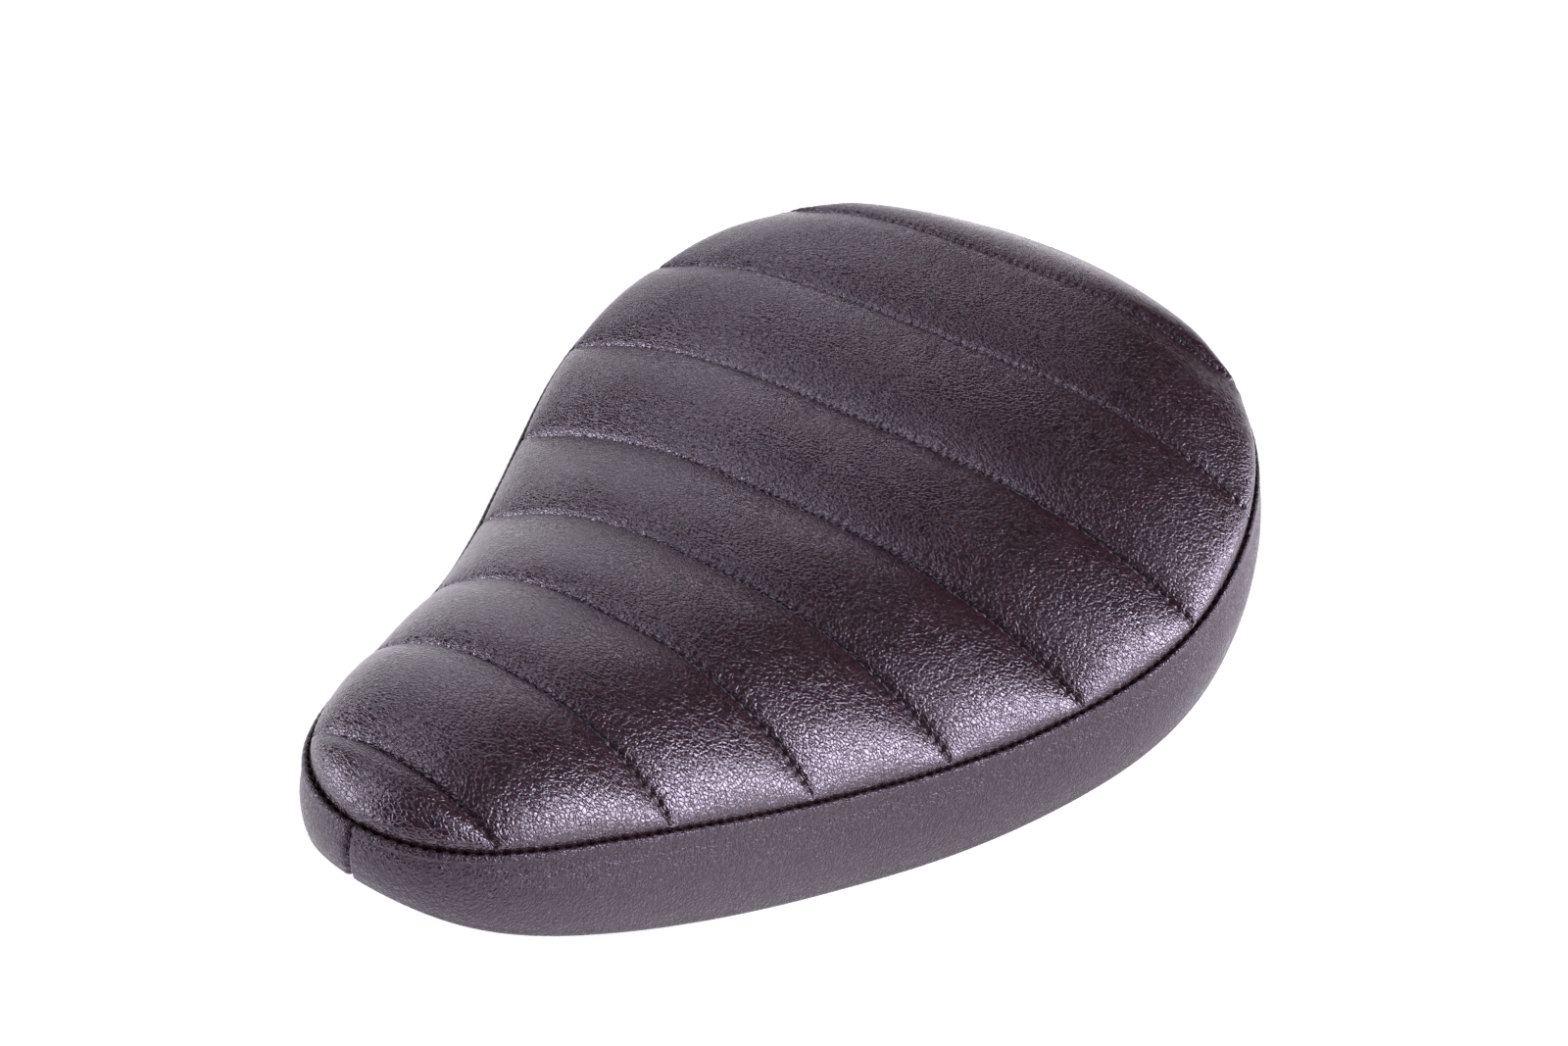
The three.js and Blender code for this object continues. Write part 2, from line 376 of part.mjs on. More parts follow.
// ---------- hem rivets ----------
const rivets = [];
{
  // arc length along the half outline
  const N = 600, s = [0]; for (let i = 1; i <= N; i++) { const a = (i - 1) / N * END, b = i / N * END; s.push(s[i - 1] + Math.hypot(sX(b) - sX(a), sY(b) - sY(a))); }
  const count = Math.round(s[N] / RIVET_PITCH);
  for (let k = 0; k < count; k++) {
    const want = (k + 0.5) * s[N] / count; let i = 0; while (s[i] < want) i++;
    const t = i / N * END, e = 1e-3, dx = sX(t + e) - sX(t - e), dy = sY(t + e) - sY(t - e), l = Math.hypot(dx, dy);
    const o = sF(t) - 7.2, x = sX(t) + dy / l * o, y = sY(t) - dx / l * o;
    for (const sx of [1, -1]) {
      const frame = frameAt(x, y, true);
      if (sx < 0) frame.premultiply(new THREE.Matrix4().makeScale(-1, 1, 1)).multiply(new THREE.Matrix4().makeScale(-1, 1, 1));
      rivets.push([`hem_rivet_${sx > 0 ? 'left' : 'right'}_${k + 1}`, frame, k === 0 || k === count - 1]);
    }
  }
}
for (const [name, frame, pocket] of rivets) {
  const low = -0.9 - BAND_T - 0.5, high = PAN_T + 0.35;
  const g = new THREE.Group(); frame.decompose(g.position, g.quaternion, g.scale); seat.add(g);
  add(name, turned([[0, low - 1.0], [2.6, low - 0.9], [3.3, low], [1.6, low], [1.6, high], [2.4, high], [1.8, high + 1.1], [0, high + 1.3]], 8), ZINC, g);
  panCuts.push(place(drill(2.0, -2, 6, 8), frame)); bandCuts.push(place(drill(2.0, -6, 1, 8), frame)); if (pocket) foamCuts.push(place(drill(3.4, 0, high + 2.2, 8), frame));
}

// ---------- soft layers and pan ----------
const innerRows = rows.slice(1, -1);
add('top_cover', slab(rows, 'cover', (p) => p.top, (p) => p.top - COVER_T), LEATHER_TOP);
for (let c = 0; c < 9; c++) {
  // rows from one seam to the next, stopped a little short of both stitch lines
  const a = c === 0 ? innerRows[0].y : seamY(c - 1), b = c === 8 ? innerRows[innerRows.length - 1].y : seamY(c);
  const list = innerRows.filter((r) => r.y > a - 1e-6 && r.y < b + 1e-6);
  const out = list.slice();
  if (c > 0) out[0] = between(list[0], list[1], 0.6 / (list[1].y - list[0].y));
  if (c < 8) { const m = list.length; out[m - 1] = between(list[m - 1], list[m - 2], 0.6 / (list[m - 1].y - list[m - 2].y)); }
  add(`channel_pad_${c + 1}`, slab(out, 'inner', (p) => p.top - COVER_T - GAP, (p) => p.sheet - COVER_T - GAP - PAD_BASE), FOAM);
}
const below = COVER_T + GAP + PAD_BASE + GAP;
add('scrim', slab(innerRows, 'inner', (p) => p.sheet - below, (p) => p.sheet - below - SCRIM_T), SCRIM);
const foamRows = innerRows.map((r, i) => ({ ...r, inner: r.inner.map((p, k) => ({ ...p, lift: k === 0 || k === r.inner.length - 1 || i === 0 || i === innerRows.length - 1 ? 2.9 : 0.45 })) }));
const foam = slab(foamRows, 'inner', (p) => p.sheet - below - SCRIM_T - GAP, (p) => p.pan + p.lift);   // edge lifted over the rivets
add('foam_core', cut(foam, ...foamCuts), FOAM);
add('seat_pan', cut(slab(rows, 'pan', (p) => p.pan, (p) => p.pan - PAN_T), ...panCuts), PAN_BLACK);
for (const [side, sign] of [['left', 1], ['right', -1]]) add(`side_band_${side}`, cut(facingOut(band(sign)), ...bandCuts), LEATHER_BAND);

// ---------- stand the seat on the floor, centred ----------
const object = new THREE.Group();
seat.rotation.x = THREE.MathUtils.degToRad(-REST_PITCH);
object.add(seat);
object.updateMatrixWorld(true);
const box = new THREE.Box3().setFromObject(object, true);
seat.position.set(0, -(box.min.y + box.max.y) / 2, -box.min.z);
object.updateMatrixWorld(true);

export default object;
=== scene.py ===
# Motorcycle solo seat: the pleated leather cover, side bands, padding and ironmongery,
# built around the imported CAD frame.
import json
import math

import bpy
import bmesh
import numpy as np
from mathutils import Matrix, Vector, geometry, kdtree


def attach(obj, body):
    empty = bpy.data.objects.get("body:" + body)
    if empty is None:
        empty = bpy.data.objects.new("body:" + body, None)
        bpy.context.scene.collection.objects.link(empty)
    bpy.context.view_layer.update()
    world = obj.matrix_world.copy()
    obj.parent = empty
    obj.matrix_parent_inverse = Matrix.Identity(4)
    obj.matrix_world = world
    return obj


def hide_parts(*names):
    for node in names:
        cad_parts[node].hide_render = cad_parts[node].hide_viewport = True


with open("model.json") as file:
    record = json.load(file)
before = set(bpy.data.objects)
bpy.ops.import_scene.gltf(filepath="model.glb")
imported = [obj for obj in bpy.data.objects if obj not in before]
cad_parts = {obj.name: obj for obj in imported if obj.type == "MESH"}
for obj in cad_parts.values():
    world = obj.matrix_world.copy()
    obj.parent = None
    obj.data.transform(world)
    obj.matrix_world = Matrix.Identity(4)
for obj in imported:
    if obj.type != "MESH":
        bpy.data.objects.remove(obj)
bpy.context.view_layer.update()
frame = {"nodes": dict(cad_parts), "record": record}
NODES = frame["nodes"]
MM = 0.001

# ---------------------------------------------------------------- camera
# the seat frame (mm) is pitched ten degrees and moved to stand on the floor
CP, SP = math.cos(math.radians(10.0)), math.sin(math.radians(10.0))
TY, TZ = -162.574, 77.489


def to_row(p):
    """seat frame in mm -> row frame in m"""
    p = np.asarray(p, float)
    return np.stack([p[..., 0], CP * p[..., 1] + SP * p[..., 2] + TY, -SP * p[..., 1] + CP * p[..., 2] + TZ], -1) * MM


def turn(v):
    v = np.asarray(v, float)
    return np.stack([v[..., 0], CP * v[..., 1] + SP * v[..., 2], -SP * v[..., 1] + CP * v[..., 2]], -1)


CAM_A, CAM_E, CAM_R = (math.radians(a) for a in (30.41652227, 33.96943238, 6.85166718))
back = np.array([math.sin(CAM_A) * math.cos(CAM_E), -math.cos(CAM_A) * math.cos(CAM_E), math.sin(CAM_E)])
right0 = np.cross([0, 0, 1.0], back); right0 /= np.linalg.norm(right0)
up0 = np.cross(back, right0)
cr, sr = math.cos(CAM_R), math.sin(CAM_R)
right, up = cr * right0 + sr * up0, -sr * right0 + cr * up0
cam_at = (np.array([0, 165.0, 0]) + back * math.exp(6.24782782) + right * 0.43147284 + up * 1.47055072) * 1.05
cam_data = bpy.data.cameras.new("camera")
cam_data.sensor_width = 36.0
cam_data.lens = math.exp(7.53930866) * 36.0 / 1600.0
cam_data.clip_start, cam_data.clip_end = 0.01, 60
camera = bpy.data.objects.new("camera", cam_data)
R3 = np.stack([turn(right), turn(up), turn(back)], 1)
M4 = np.eye(4); M4[:3, :3] = R3; M4[:3, 3] = to_row(cam_at)
camera.matrix_world = Matrix(M4.tolist())
bpy.context.scene.collection.objects.link(camera)
bpy.context.scene.camera = camera

# ---------------------------------------------------------------- the seat's surface, mm in the seat frame
SEAM_X = [0, 25.2, 42.3, 56.4, 69.8, 85.6, 101.4, 113.3, 114.0, 103.0, 79.0, 41.8, 0]
SEAM_Y = [0, 10.8, 39.2, 73.7, 107.2, 140.5, 174.8, 208.8, 242.0, 274.5, 301.1, 319.0, 326.7]
SEAM_Z = [9.6, 7.7, 1.3, -8.2, -15.4, -17.7, -13.8, -4.0, 9.0, 21.3, 30.0, 34.8, 36.3]
BAND_H = [17.6, 24.3, 30.9, 33.5, 34.2, 34.3, 34.2, 34.0, 32.6, 32.2, 32.5, 32.5, 32.5]
BAND_FLARE = [1.9, 1.7, 2.7, 2.9, 2.9, 2.9, 3.3, 4.2, 5.4, 5.0, 3.7, 2.9, 2.6]
FIRST_SEAM, PITCH = 15.1, 39.9
SEAM_MID_Z = np.array([15.1, 16.3, 10.6, 6.8, 7.8, 18.1, 32.6, 45.0])
SEAM_POWER = np.array([2.34, 2.46, 2.72, 2.64, 2.81, 3.36, 3.9, 3.7])
PUFF = np.array([4.0, 5.2, 4.6, 5.0, 5.1, 5.0, 4.4, 3.4, 2.4])
COVER_T, GAP, PAD_BASE, SCRIM_T, PAN_T, BAND_T, HEM_W = 1.8, 0.4, 3.0, 1.0, 2.2, 1.5, 12.0
STITCH = 3.0
END = 12.0


def spline(v, odd):
    """the cubic through values at 0, 1, 2, ...; odd ends have no bend, even ends no slope"""
    v = np.asarray(v, float); n = len(v) - 1
    A = np.zeros((n + 1, n + 1)); d = np.zeros(n + 1)
    for i in range(1, n):
        A[i, i - 1], A[i, i], A[i, i + 1] = 1, 4, 1
        d[i] = 6 * (v[i - 1] - 2 * v[i] + v[i + 1])
    if odd:
        A[0, 0] = A[n, n] = 1
    else:
        A[0, 0], A[0, 1], d[0] = 2, 1, 6 * (v[1] - v[0])
        A[n, n], A[n, n - 1], d[n] = 2, 1, -6 * (v[n] - v[n - 1])
    m = np.linalg.solve(A, d)

    def f(t):
        t = np.asarray(t, float)
        i = np.clip(np.floor(t).astype(int), 0, n - 1); s = t - i; r = 1 - s
        return r * v[i] + s * v[i + 1] + ((r ** 3 - r) * m[i] + (s ** 3 - s) * m[i + 1]) / 6
    return f


sX, sY, sZ, sH, sF = (spline(a, o) for a, o in ((SEAM_X, True), (SEAM_Y, False), (SEAM_Z, False), (BAND_H, False), (BAND_FLARE, False)))
_T = np.linspace(0, END, 24001)
_TX, _TY, _TZ = sX(_T), sY(_T), sZ(_T)


def t_at_y(y):
    return np.interp(y, _TY, _T)


def seam_y(i):
    return FIRST_SEAM + PITCH * i


T_FIRST, T_LAST = float(t_at_y(seam_y(0))), float(t_at_y(seam_y(7)))
_N = _T <= T_FIRST
_L = _T >= T_LAST


def arch(x, w, ze, zm, p):
    return ze + (zm - ze) * (1 - np.clip(np.abs(x) / w, 0, None) ** p)


def seam_arch(i, x):
    t = t_at_y(seam_y(i))
    return arch(x, sX(t), sZ(t), SEAM_MID_Z[i], SEAM_POWER[i])


def end_part(x, nose):
    """where the outline's arc lies beyond the first or last cross seam, at |x|"""
    if nose:
        t = np.interp(np.abs(x), _TX[_N], _T[_N])
    else:
        t = np.interp(np.abs(x), _TX[_L][::-1], _T[_L][::-1])
    return t


def sheet(x, y):
    """the smooth sheet that all the seams lie in"""
    x, y = np.broadcast_arrays(np.asarray(x, float), np.asarray(y, float))
    ax = np.abs(x)
    j = np.clip(np.floor((y - FIRST_SEAM) / PITCH).astype(int), 0, 6); s = (y - seam_y(j)) / PITCH
    t = t_at_y(y)
    zm = SEAM_MID_Z[j] * (1 - s) + SEAM_MID_Z[j + 1] * s
    pw = SEAM_POWER[j] * (1 - s) + SEAM_POWER[j + 1] * s
    out = arch(ax, np.maximum(sX(t), 1e-3), sZ(t), zm, pw)
    for nose, sel in ((True, y < seam_y(0)), (False, y > seam_y(7))):
        if not sel.any():
            continue
        i = 0 if nose else 7
        a, b = ax[sel], y[sel]
        tt = end_part(a, nose); span = sY(tt) - seam_y(i)
        sg = -1.0 if nose else 1.0
        span = np.where(np.abs(span) < 0.5, sg * 0.5, span)
        v = np.clip((b - seam_y(i)) / span, 0, 1.4)
        o = seam_arch(i, a)
        out = out.copy()
        out[sel] = o + (sZ(tt) - o) * v ** 2.2
    return out


def channel_of(y):
    """channel index 0..8"""
    c = np.clip(np.floor((np.asarray(y, float) - FIRST_SEAM) / PITCH).astype(int) + 1, 0, 8)
    return c


def puff(x, y):
    """how far the padding lifts the cover over the sheet"""
    x, y = np.broadcast_arrays(np.asarray(x, float), np.asarray(y, float))
    ax = np.abs(x); w = sX(t_at_y(y))
    inset = np.clip((w - ax) / 14.7, 0, 1); side = np.sqrt(np.clip(1 - (1 - inset) ** 2, 0, 1))
    j = np.clip(np.floor((y - FIRST_SEAM) / PITCH).astype(int), 0, 6); v = np.clip((y - seam_y(j)) / PITCH, 0, 1)
    out = PUFF[j + 1] * (4 * v * (1 - v)) ** 0.65 * side
    for nose, sel in ((True, y < seam_y(0)), (False, y > seam_y(7))):
        if not sel.any():
            continue
        i = 0 if nose else 7
        a, b = ax[sel], y[sel]
        tt = end_part(a, nose); span = np.abs(sY(tt) - seam_y(i))
        v = np.clip(np.abs(b - seam_y(i)) / np.maximum(span, 0.5), 0, 1)
        out = out.copy()
        out[sel] = PUFF[0 if nose else 8] * np.minimum(span / 15, 1) * (4 * v * (1 - v)) ** 0.6
    return out


def pan_top(x, y):
    t = t_at_y(np.clip(y, 0.01, SEAM_Y[-1] - 0.01)); w = np.maximum(sX(t), 0.5); u = np.minimum(np.abs(x) / w, 1.2)
    rise = np.maximum(sheet(0 * x, y) - sZ(t), 0)
    return sheet(np.minimum(np.abs(x), w * 1.04), y) - (sH(t) - 6.2) - 0.2 * rise * np.maximum(1 - u ** 3, 0)


# the half outline by arc length
_S = np.concatenate([[0], np.cumsum(np.hypot(np.diff(_TX), np.diff(_TY)))])
HALF = float(_S[-1])
N_STITCH = int(round(HALF / STITCH))
PSTITCH = HALF / N_STITCH


def outline(s):
    """point, outward normal, t at arc length s from the nose tip along the +X side"""
    t = np.interp(s, _S, _T); e = 1e-3
    a, b = np.maximum(t - e, 0), np.minimum(t + e, END)
    dx, dy = sX(b) - sX(a), sY(b) - sY(a); l = np.hypot(dx, dy)
    return np.stack([sX(t), sY(t)], -1), np.stack([dy / l, -dx / l], -1), t


# ---------------------------------------------------------------- small tools
def build(name, verts, faces, smooth=True, mats=(), angle=None):
    me = bpy.data.meshes.new(name)
    me.from_pydata(np.asarray(verts, float).tolist(), [], [list(map(int, f)) for f in faces])
    me.validate(); me.update()
    ob = bpy.data.objects.new(name, me)
    bpy.context.scene.collection.objects.link(ob)
    me.polygons.foreach_set("use_smooth", np.ones(len(me.polygons), bool) if smooth else np.zeros(len(me.polygons), bool))
    if angle is not None:
        me.set_sharp_from_angle(angle=math.radians(angle))
    for m in mats:
        me.materials.append(m)
    return ob


def grid_faces(R, C, base=0, wrap_c=False, wrap_r=False, flip=False):
    r = np.arange(R if wrap_r else R - 1); c = np.arange(C if wrap_c else C - 1)
    rr, cc = np.meshgrid(r, c, indexing="ij")
    a = rr * C + cc; b = rr * C + (cc + 1) % C; d = ((rr + 1) % R) * C + cc; e = ((rr + 1) % R) * C + (cc + 1) % C
    q = np.stack([a, b, e, d], -1).reshape(-1, 4) + base
    return q[:, ::-1] if flip else q


def face_out(ob):
    bm = bmesh.new(); bm.from_mesh(ob.data)
    bmesh.ops.recalc_face_normals(bm, faces=bm.faces)
    bm.to_mesh(ob.data); bm.free()


def hash_noise(seed, n):
    return np.random.default_rng(seed).uniform(-1, 1, n)


def wave(s, seed, scale):
    """smooth 1-D noise of about unit size"""
    g = hash_noise(seed, 4096); s = np.asarray(s, float) / scale; i = np.floor(s).astype(int); f = s - i
    f = f * f * (3 - 2 * f)
    return g[i % 4096] * (1 - f) + g[(i + 1) % 4096] * f


def wave2(x, y, seed, scale):
    g = np.random.default_rng(seed).uniform(-1, 1, (512, 512))
    x = np.asarray(x, float) / scale + 200; y = np.asarray(y, float) / scale + 200
    i, j = np.floor(x).astype(int), np.floor(y).astype(int); f, h = x - i, y - j
    f, h = f * f * (3 - 2 * f), h * h * (3 - 2 * h)
    i0, i1, j0, j1 = i % 512, (i + 1) % 512, j % 512, (j + 1) % 512
    return (g[i0, j0] * (1 - f) + g[i1, j0] * f) * (1 - h) + (g[i0, j1] * (1 - f) + g[i1, j1] * f) * h

# ---------------------------------------------------------------- the cover: swell, creases, stitch dimples
def ring_points(offset, step, start=0.0):
    """points round the whole outline at that offset, counter-clockwise from the nose, with arc length"""
    n = int(round(2 * HALF / step))
    s = (np.arange(n) + start) * (2 * HALF / n)
    side = np.where(s <= HALF, 1.0, -1.0); sh = np.where(s <= HALF, s, 2 * HALF - s)
    p, nn, t = outline(sh)
    q = p + nn * offset
    q[:, 0] = np.maximum(q[:, 0], 0.0)
    return np.stack([q[:, 0] * side, q[:, 1]], -1), np.stack([nn[:, 0] * side, nn[:, 1]], -1), sh, side, t


_tree_pts, _, _tree_s, _, _ = ring_points(0, 0.2)
_tree = kdtree.KDTree(len(_tree_pts))
for _i, _p in enumerate(_tree_pts):
    _tree.insert((_p[0], _p[1], 0), _i)
_tree.balance()


def to_outline(x, y):
    """distance to the perimeter seam and arc length of the nearest point"""
    d, s = np.empty(len(x)), np.empty(len(x))
    for k in range(len(x)):
        _, i, dist = _tree.find((float(x[k]), float(y[k]), 0))
        d[k] = dist; s[k] = _tree_s[i]
    return d, s


# arc length along each cross seam, from the centre line
_seam_x = np.linspace(0, 116, 1161)
_seam_s = []
for _i in range(8):
    _z = seam_arch(_i, np.minimum(_seam_x, sX(t_at_y(seam_y(_i)))))
    _seam_s.append(np.concatenate([[0], np.cumsum(np.hypot(np.diff(_seam_x), np.diff(_z)))]))


def sim_swell():
    """the cover blown up between its seams as cloth: heights over a lattice, less the plain swell"""
    U = np.linspace(-1, 1, 73)
    ts = list(np.linspace(0.16, T_FIRST, 7))
    for i in range(7):
        ts += list(t_at_y(seam_y(i) + PITCH * np.arange(1, 13) / 12))
    ts += list(np.linspace(T_LAST, END - 0.16, 9)[1:])
    ts = np.array(ts); R, C = len(ts), len(U)
    pinned = np.zeros((R, C), bool); pinned[:, 0] = pinned[:, -1] = True; pinned[0] = pinned[-1] = True
    for i in range(8):
        pinned[6 + 12 * i] = True
    y = np.repeat(sY(ts)[:, None], C, 1); w = sX(ts)[:, None]
    x = U[None] * (w - 0.3)
    plain = puff(x, y)
    z = sheet(x, y)
    start = np.stack([x, y, z + 0.85 * plain], -1)
    delta = np.zeros((R, C))
    ob = build("swell", start.reshape(-1, 3) * MM * 4, grid_faces(R, C))
    g = ob.vertex_groups.new(name="pin"); g.add(np.nonzero(pinned.ravel())[0].tolist(), 1.0, "REPLACE")
    m = ob.modifiers.new("cloth", "CLOTH"); c = m.settings
    c.quality = 6; c.mass = 0.25; c.tension_stiffness = c.compression_stiffness = 12; c.shear_stiffness = 6; c.bending_stiffness = 0.4
    c.vertex_group_mass = "pin"; c.use_pressure = True; c.uniform_pressure_force = 4.0; c.shrink_min = -0.004
    c.effector_weights.gravity = 0
    sc = bpy.context.scene; sc.frame_start, sc.frame_end = 1, 20
    m.point_cache.frame_start, m.point_cache.frame_end = 1, 20
    for f in range(1, 21):
        sc.frame_set(f)
    ev = ob.evaluated_get(bpy.context.evaluated_depsgraph_get())
    co = np.empty(R * C * 3); ev.data.vertices.foreach_get("co", co)
    zz = (co.reshape(R, C, 3) / (MM * 4))[..., 2]
    bpy.data.objects.remove(ob)
    sc.frame_set(1)
    lift = zz - z
    # each channel's crest is held to its padding's height
    for c9 in range(9):
        a, b = (0, 6) if c9 == 0 else ((6 + 12 * (c9 - 1), 18 + 12 * (c9 - 1)) if c9 < 8 else (90, R - 1))
        block = lift[a:b + 1]; ref = plain[a:b + 1]
        got = np.percentile(block, 92)
        if got > 0.3:
            lift[a:b + 1] = block * (np.percentile(ref, 92) / got)
    delta = np.clip(lift - plain, -1.6, 1.6)
    delta[pinned] = 0
    return sY(ts), U, delta, ts


SWELL = sim_swell()


def swell_at(x, y):
    ys, U, delta, ts = SWELL
    w = np.maximum(sX(t_at_y(y)) - 0.3, 0.5)
    r = np.clip(np.interp(t_at_y(y), ts, np.arange(len(ts))), 0, len(ts) - 1.001); c = np.clip((x / w + 1) / 2 * (len(U) - 1), 0, len(U) - 1.001)
    i, j = r.astype(int), c.astype(int); f, h = r - i, c - j
    return (delta[i, j] * (1 - f) + delta[i + 1, j] * f) * (1 - h) + (delta[i, j + 1] * (1 - f) + delta[i + 1, j + 1] * f) * h


SIM_SHARE = 0.3
SHOULDER_T = [0, 4, 7, 8.5, 10, 12]
SHOULDER = [0.7, 0.6, 0.8, 1.6, 2.2, 2.3]


def cover_z(x, y, d=None, s=None, fine=True):
    x, y = np.asarray(x, float), np.asarray(y, float)
    lift = puff(x, y)
    z = sheet(x, y) + np.maximum(lift + SIM_SHARE * swell_at(x, y), 0)
    if not fine:
        return z
    if d is None:
        d, s = to_outline(x, y)
    d0 = np.maximum(d, 0)
    # slow unevenness of the padding
    body = np.clip(lift / 3.0, 0, 1)
    z = z + body * (0.12 * wave2(x, y, 11, 21.0) + 0.035 * wave2(x, y, 12, 9.0))
    # cross seams
    i = np.clip(np.round((y - FIRST_SEAM) / PITCH).astype(int), 0, 7)
    dy = y - seam_y(i)
    ss = np.empty_like(x)
    for k in range(8):
        m = i == k
        if m.any():
            ss[m] = np.interp(np.abs(x[m]), _seam_x, _seam_s[k]) * np.sign(x[m])
    ph = ss / STITCH
    ad = np.abs(dy)
    z = z - (0.50 + 0.9 * np.exp(-d0 / 1.6)) * np.exp(-(ad / 0.62) ** 1.5)
    hole = np.exp(-((ph - np.round(ph)) * STITCH / 0.5) ** 2)
    z = z - 0.55 * hole * np.exp(-(ad / 0.7) ** 2)
    irregular = 1 + 0.55 * wave(ss + 71 * i, 21, 4.0)
    z = z - (0.15 * np.cos(2 * np.pi * ph) * np.exp(-ad / 1.7) * (1 - np.exp(-ad / 0.35)) * irregular)
    # the last seam runs out nearly along the edge, where the two channels close over its ends
    z = z + (i == 7) * 1.5 * np.exp(-(d0 / 6.5) ** 2) * np.exp(-(ad / 3.6) ** 2)
    # drag lines run out of the seam a little way
    z = z + 0.07 * wave(ss + 40 * i, 22, 2.3) * np.exp(-ad / 3.0) * (1 - np.exp(-ad / 0.6))
    # perimeter: a full shoulder that turns down into the groove
    pp = s / PSTITCH
    t_edge = np.interp(s, _S, _T)
    z = z + np.interp(t_edge, SHOULDER_T, SHOULDER) * np.exp(-(d / 7.5) ** 2) * (1 - np.exp(-(d + 0.25) / 0.55))
    z = z - 0.30 * np.exp(-d / 1.1) * (0.5 + 0.5 * np.cos(2 * np.pi * pp)) * (1 + 0.3 * wave(s, 31, 5.0))
    z = z + 0.10 * wave(s, 32, 2.3) * np.exp(-d / 3.0)
    return z


EDGE = 0.35


def thin_out(batches, room):
    """keeps points that have room round them, earlier batches first"""
    kept, cells = [], {}
    for pts, gap in batches:
        for p in pts:
            k = (int(p[0] // room), int(p[1] // room)); near = False
            for a in (-1, 0, 1):
                for b in (-1, 0, 1):
                    for q in cells.get((k[0] + a, k[1] + b), ()):
                        if (q[0] - p[0]) ** 2 + (q[1] - p[1]) ** 2 < gap * gap:
                            near = True
            if not near:
                cells.setdefault(k, []).append((p[0], p[1])); kept.append((p[0], p[1]))
    return kept


def triangulated(boundary, inner):
    """triangles over the boundary ring and the inner points; the ring's points come first"""
    n = len(boundary)
    pts = [Vector((float(a), float(b))) for a, b in boundary] + [Vector((float(a), float(b))) for a, b in inner]
    edges = [(k, (k + 1) % n) for k in range(n)]
    out = geometry.delaunay_2d_cdt(pts, edges, [], 1, 1e-6)
    co = np.array([(v[0], v[1]) for v in out[0]]); tris = out[2]; orig = out[3]
    where = {}
    for k, o in enumerate(orig):
        for q in o:
            where[q] = k
    order = [where[k] for k in range(n)]
    return co, [tuple(t) for t in tris], order


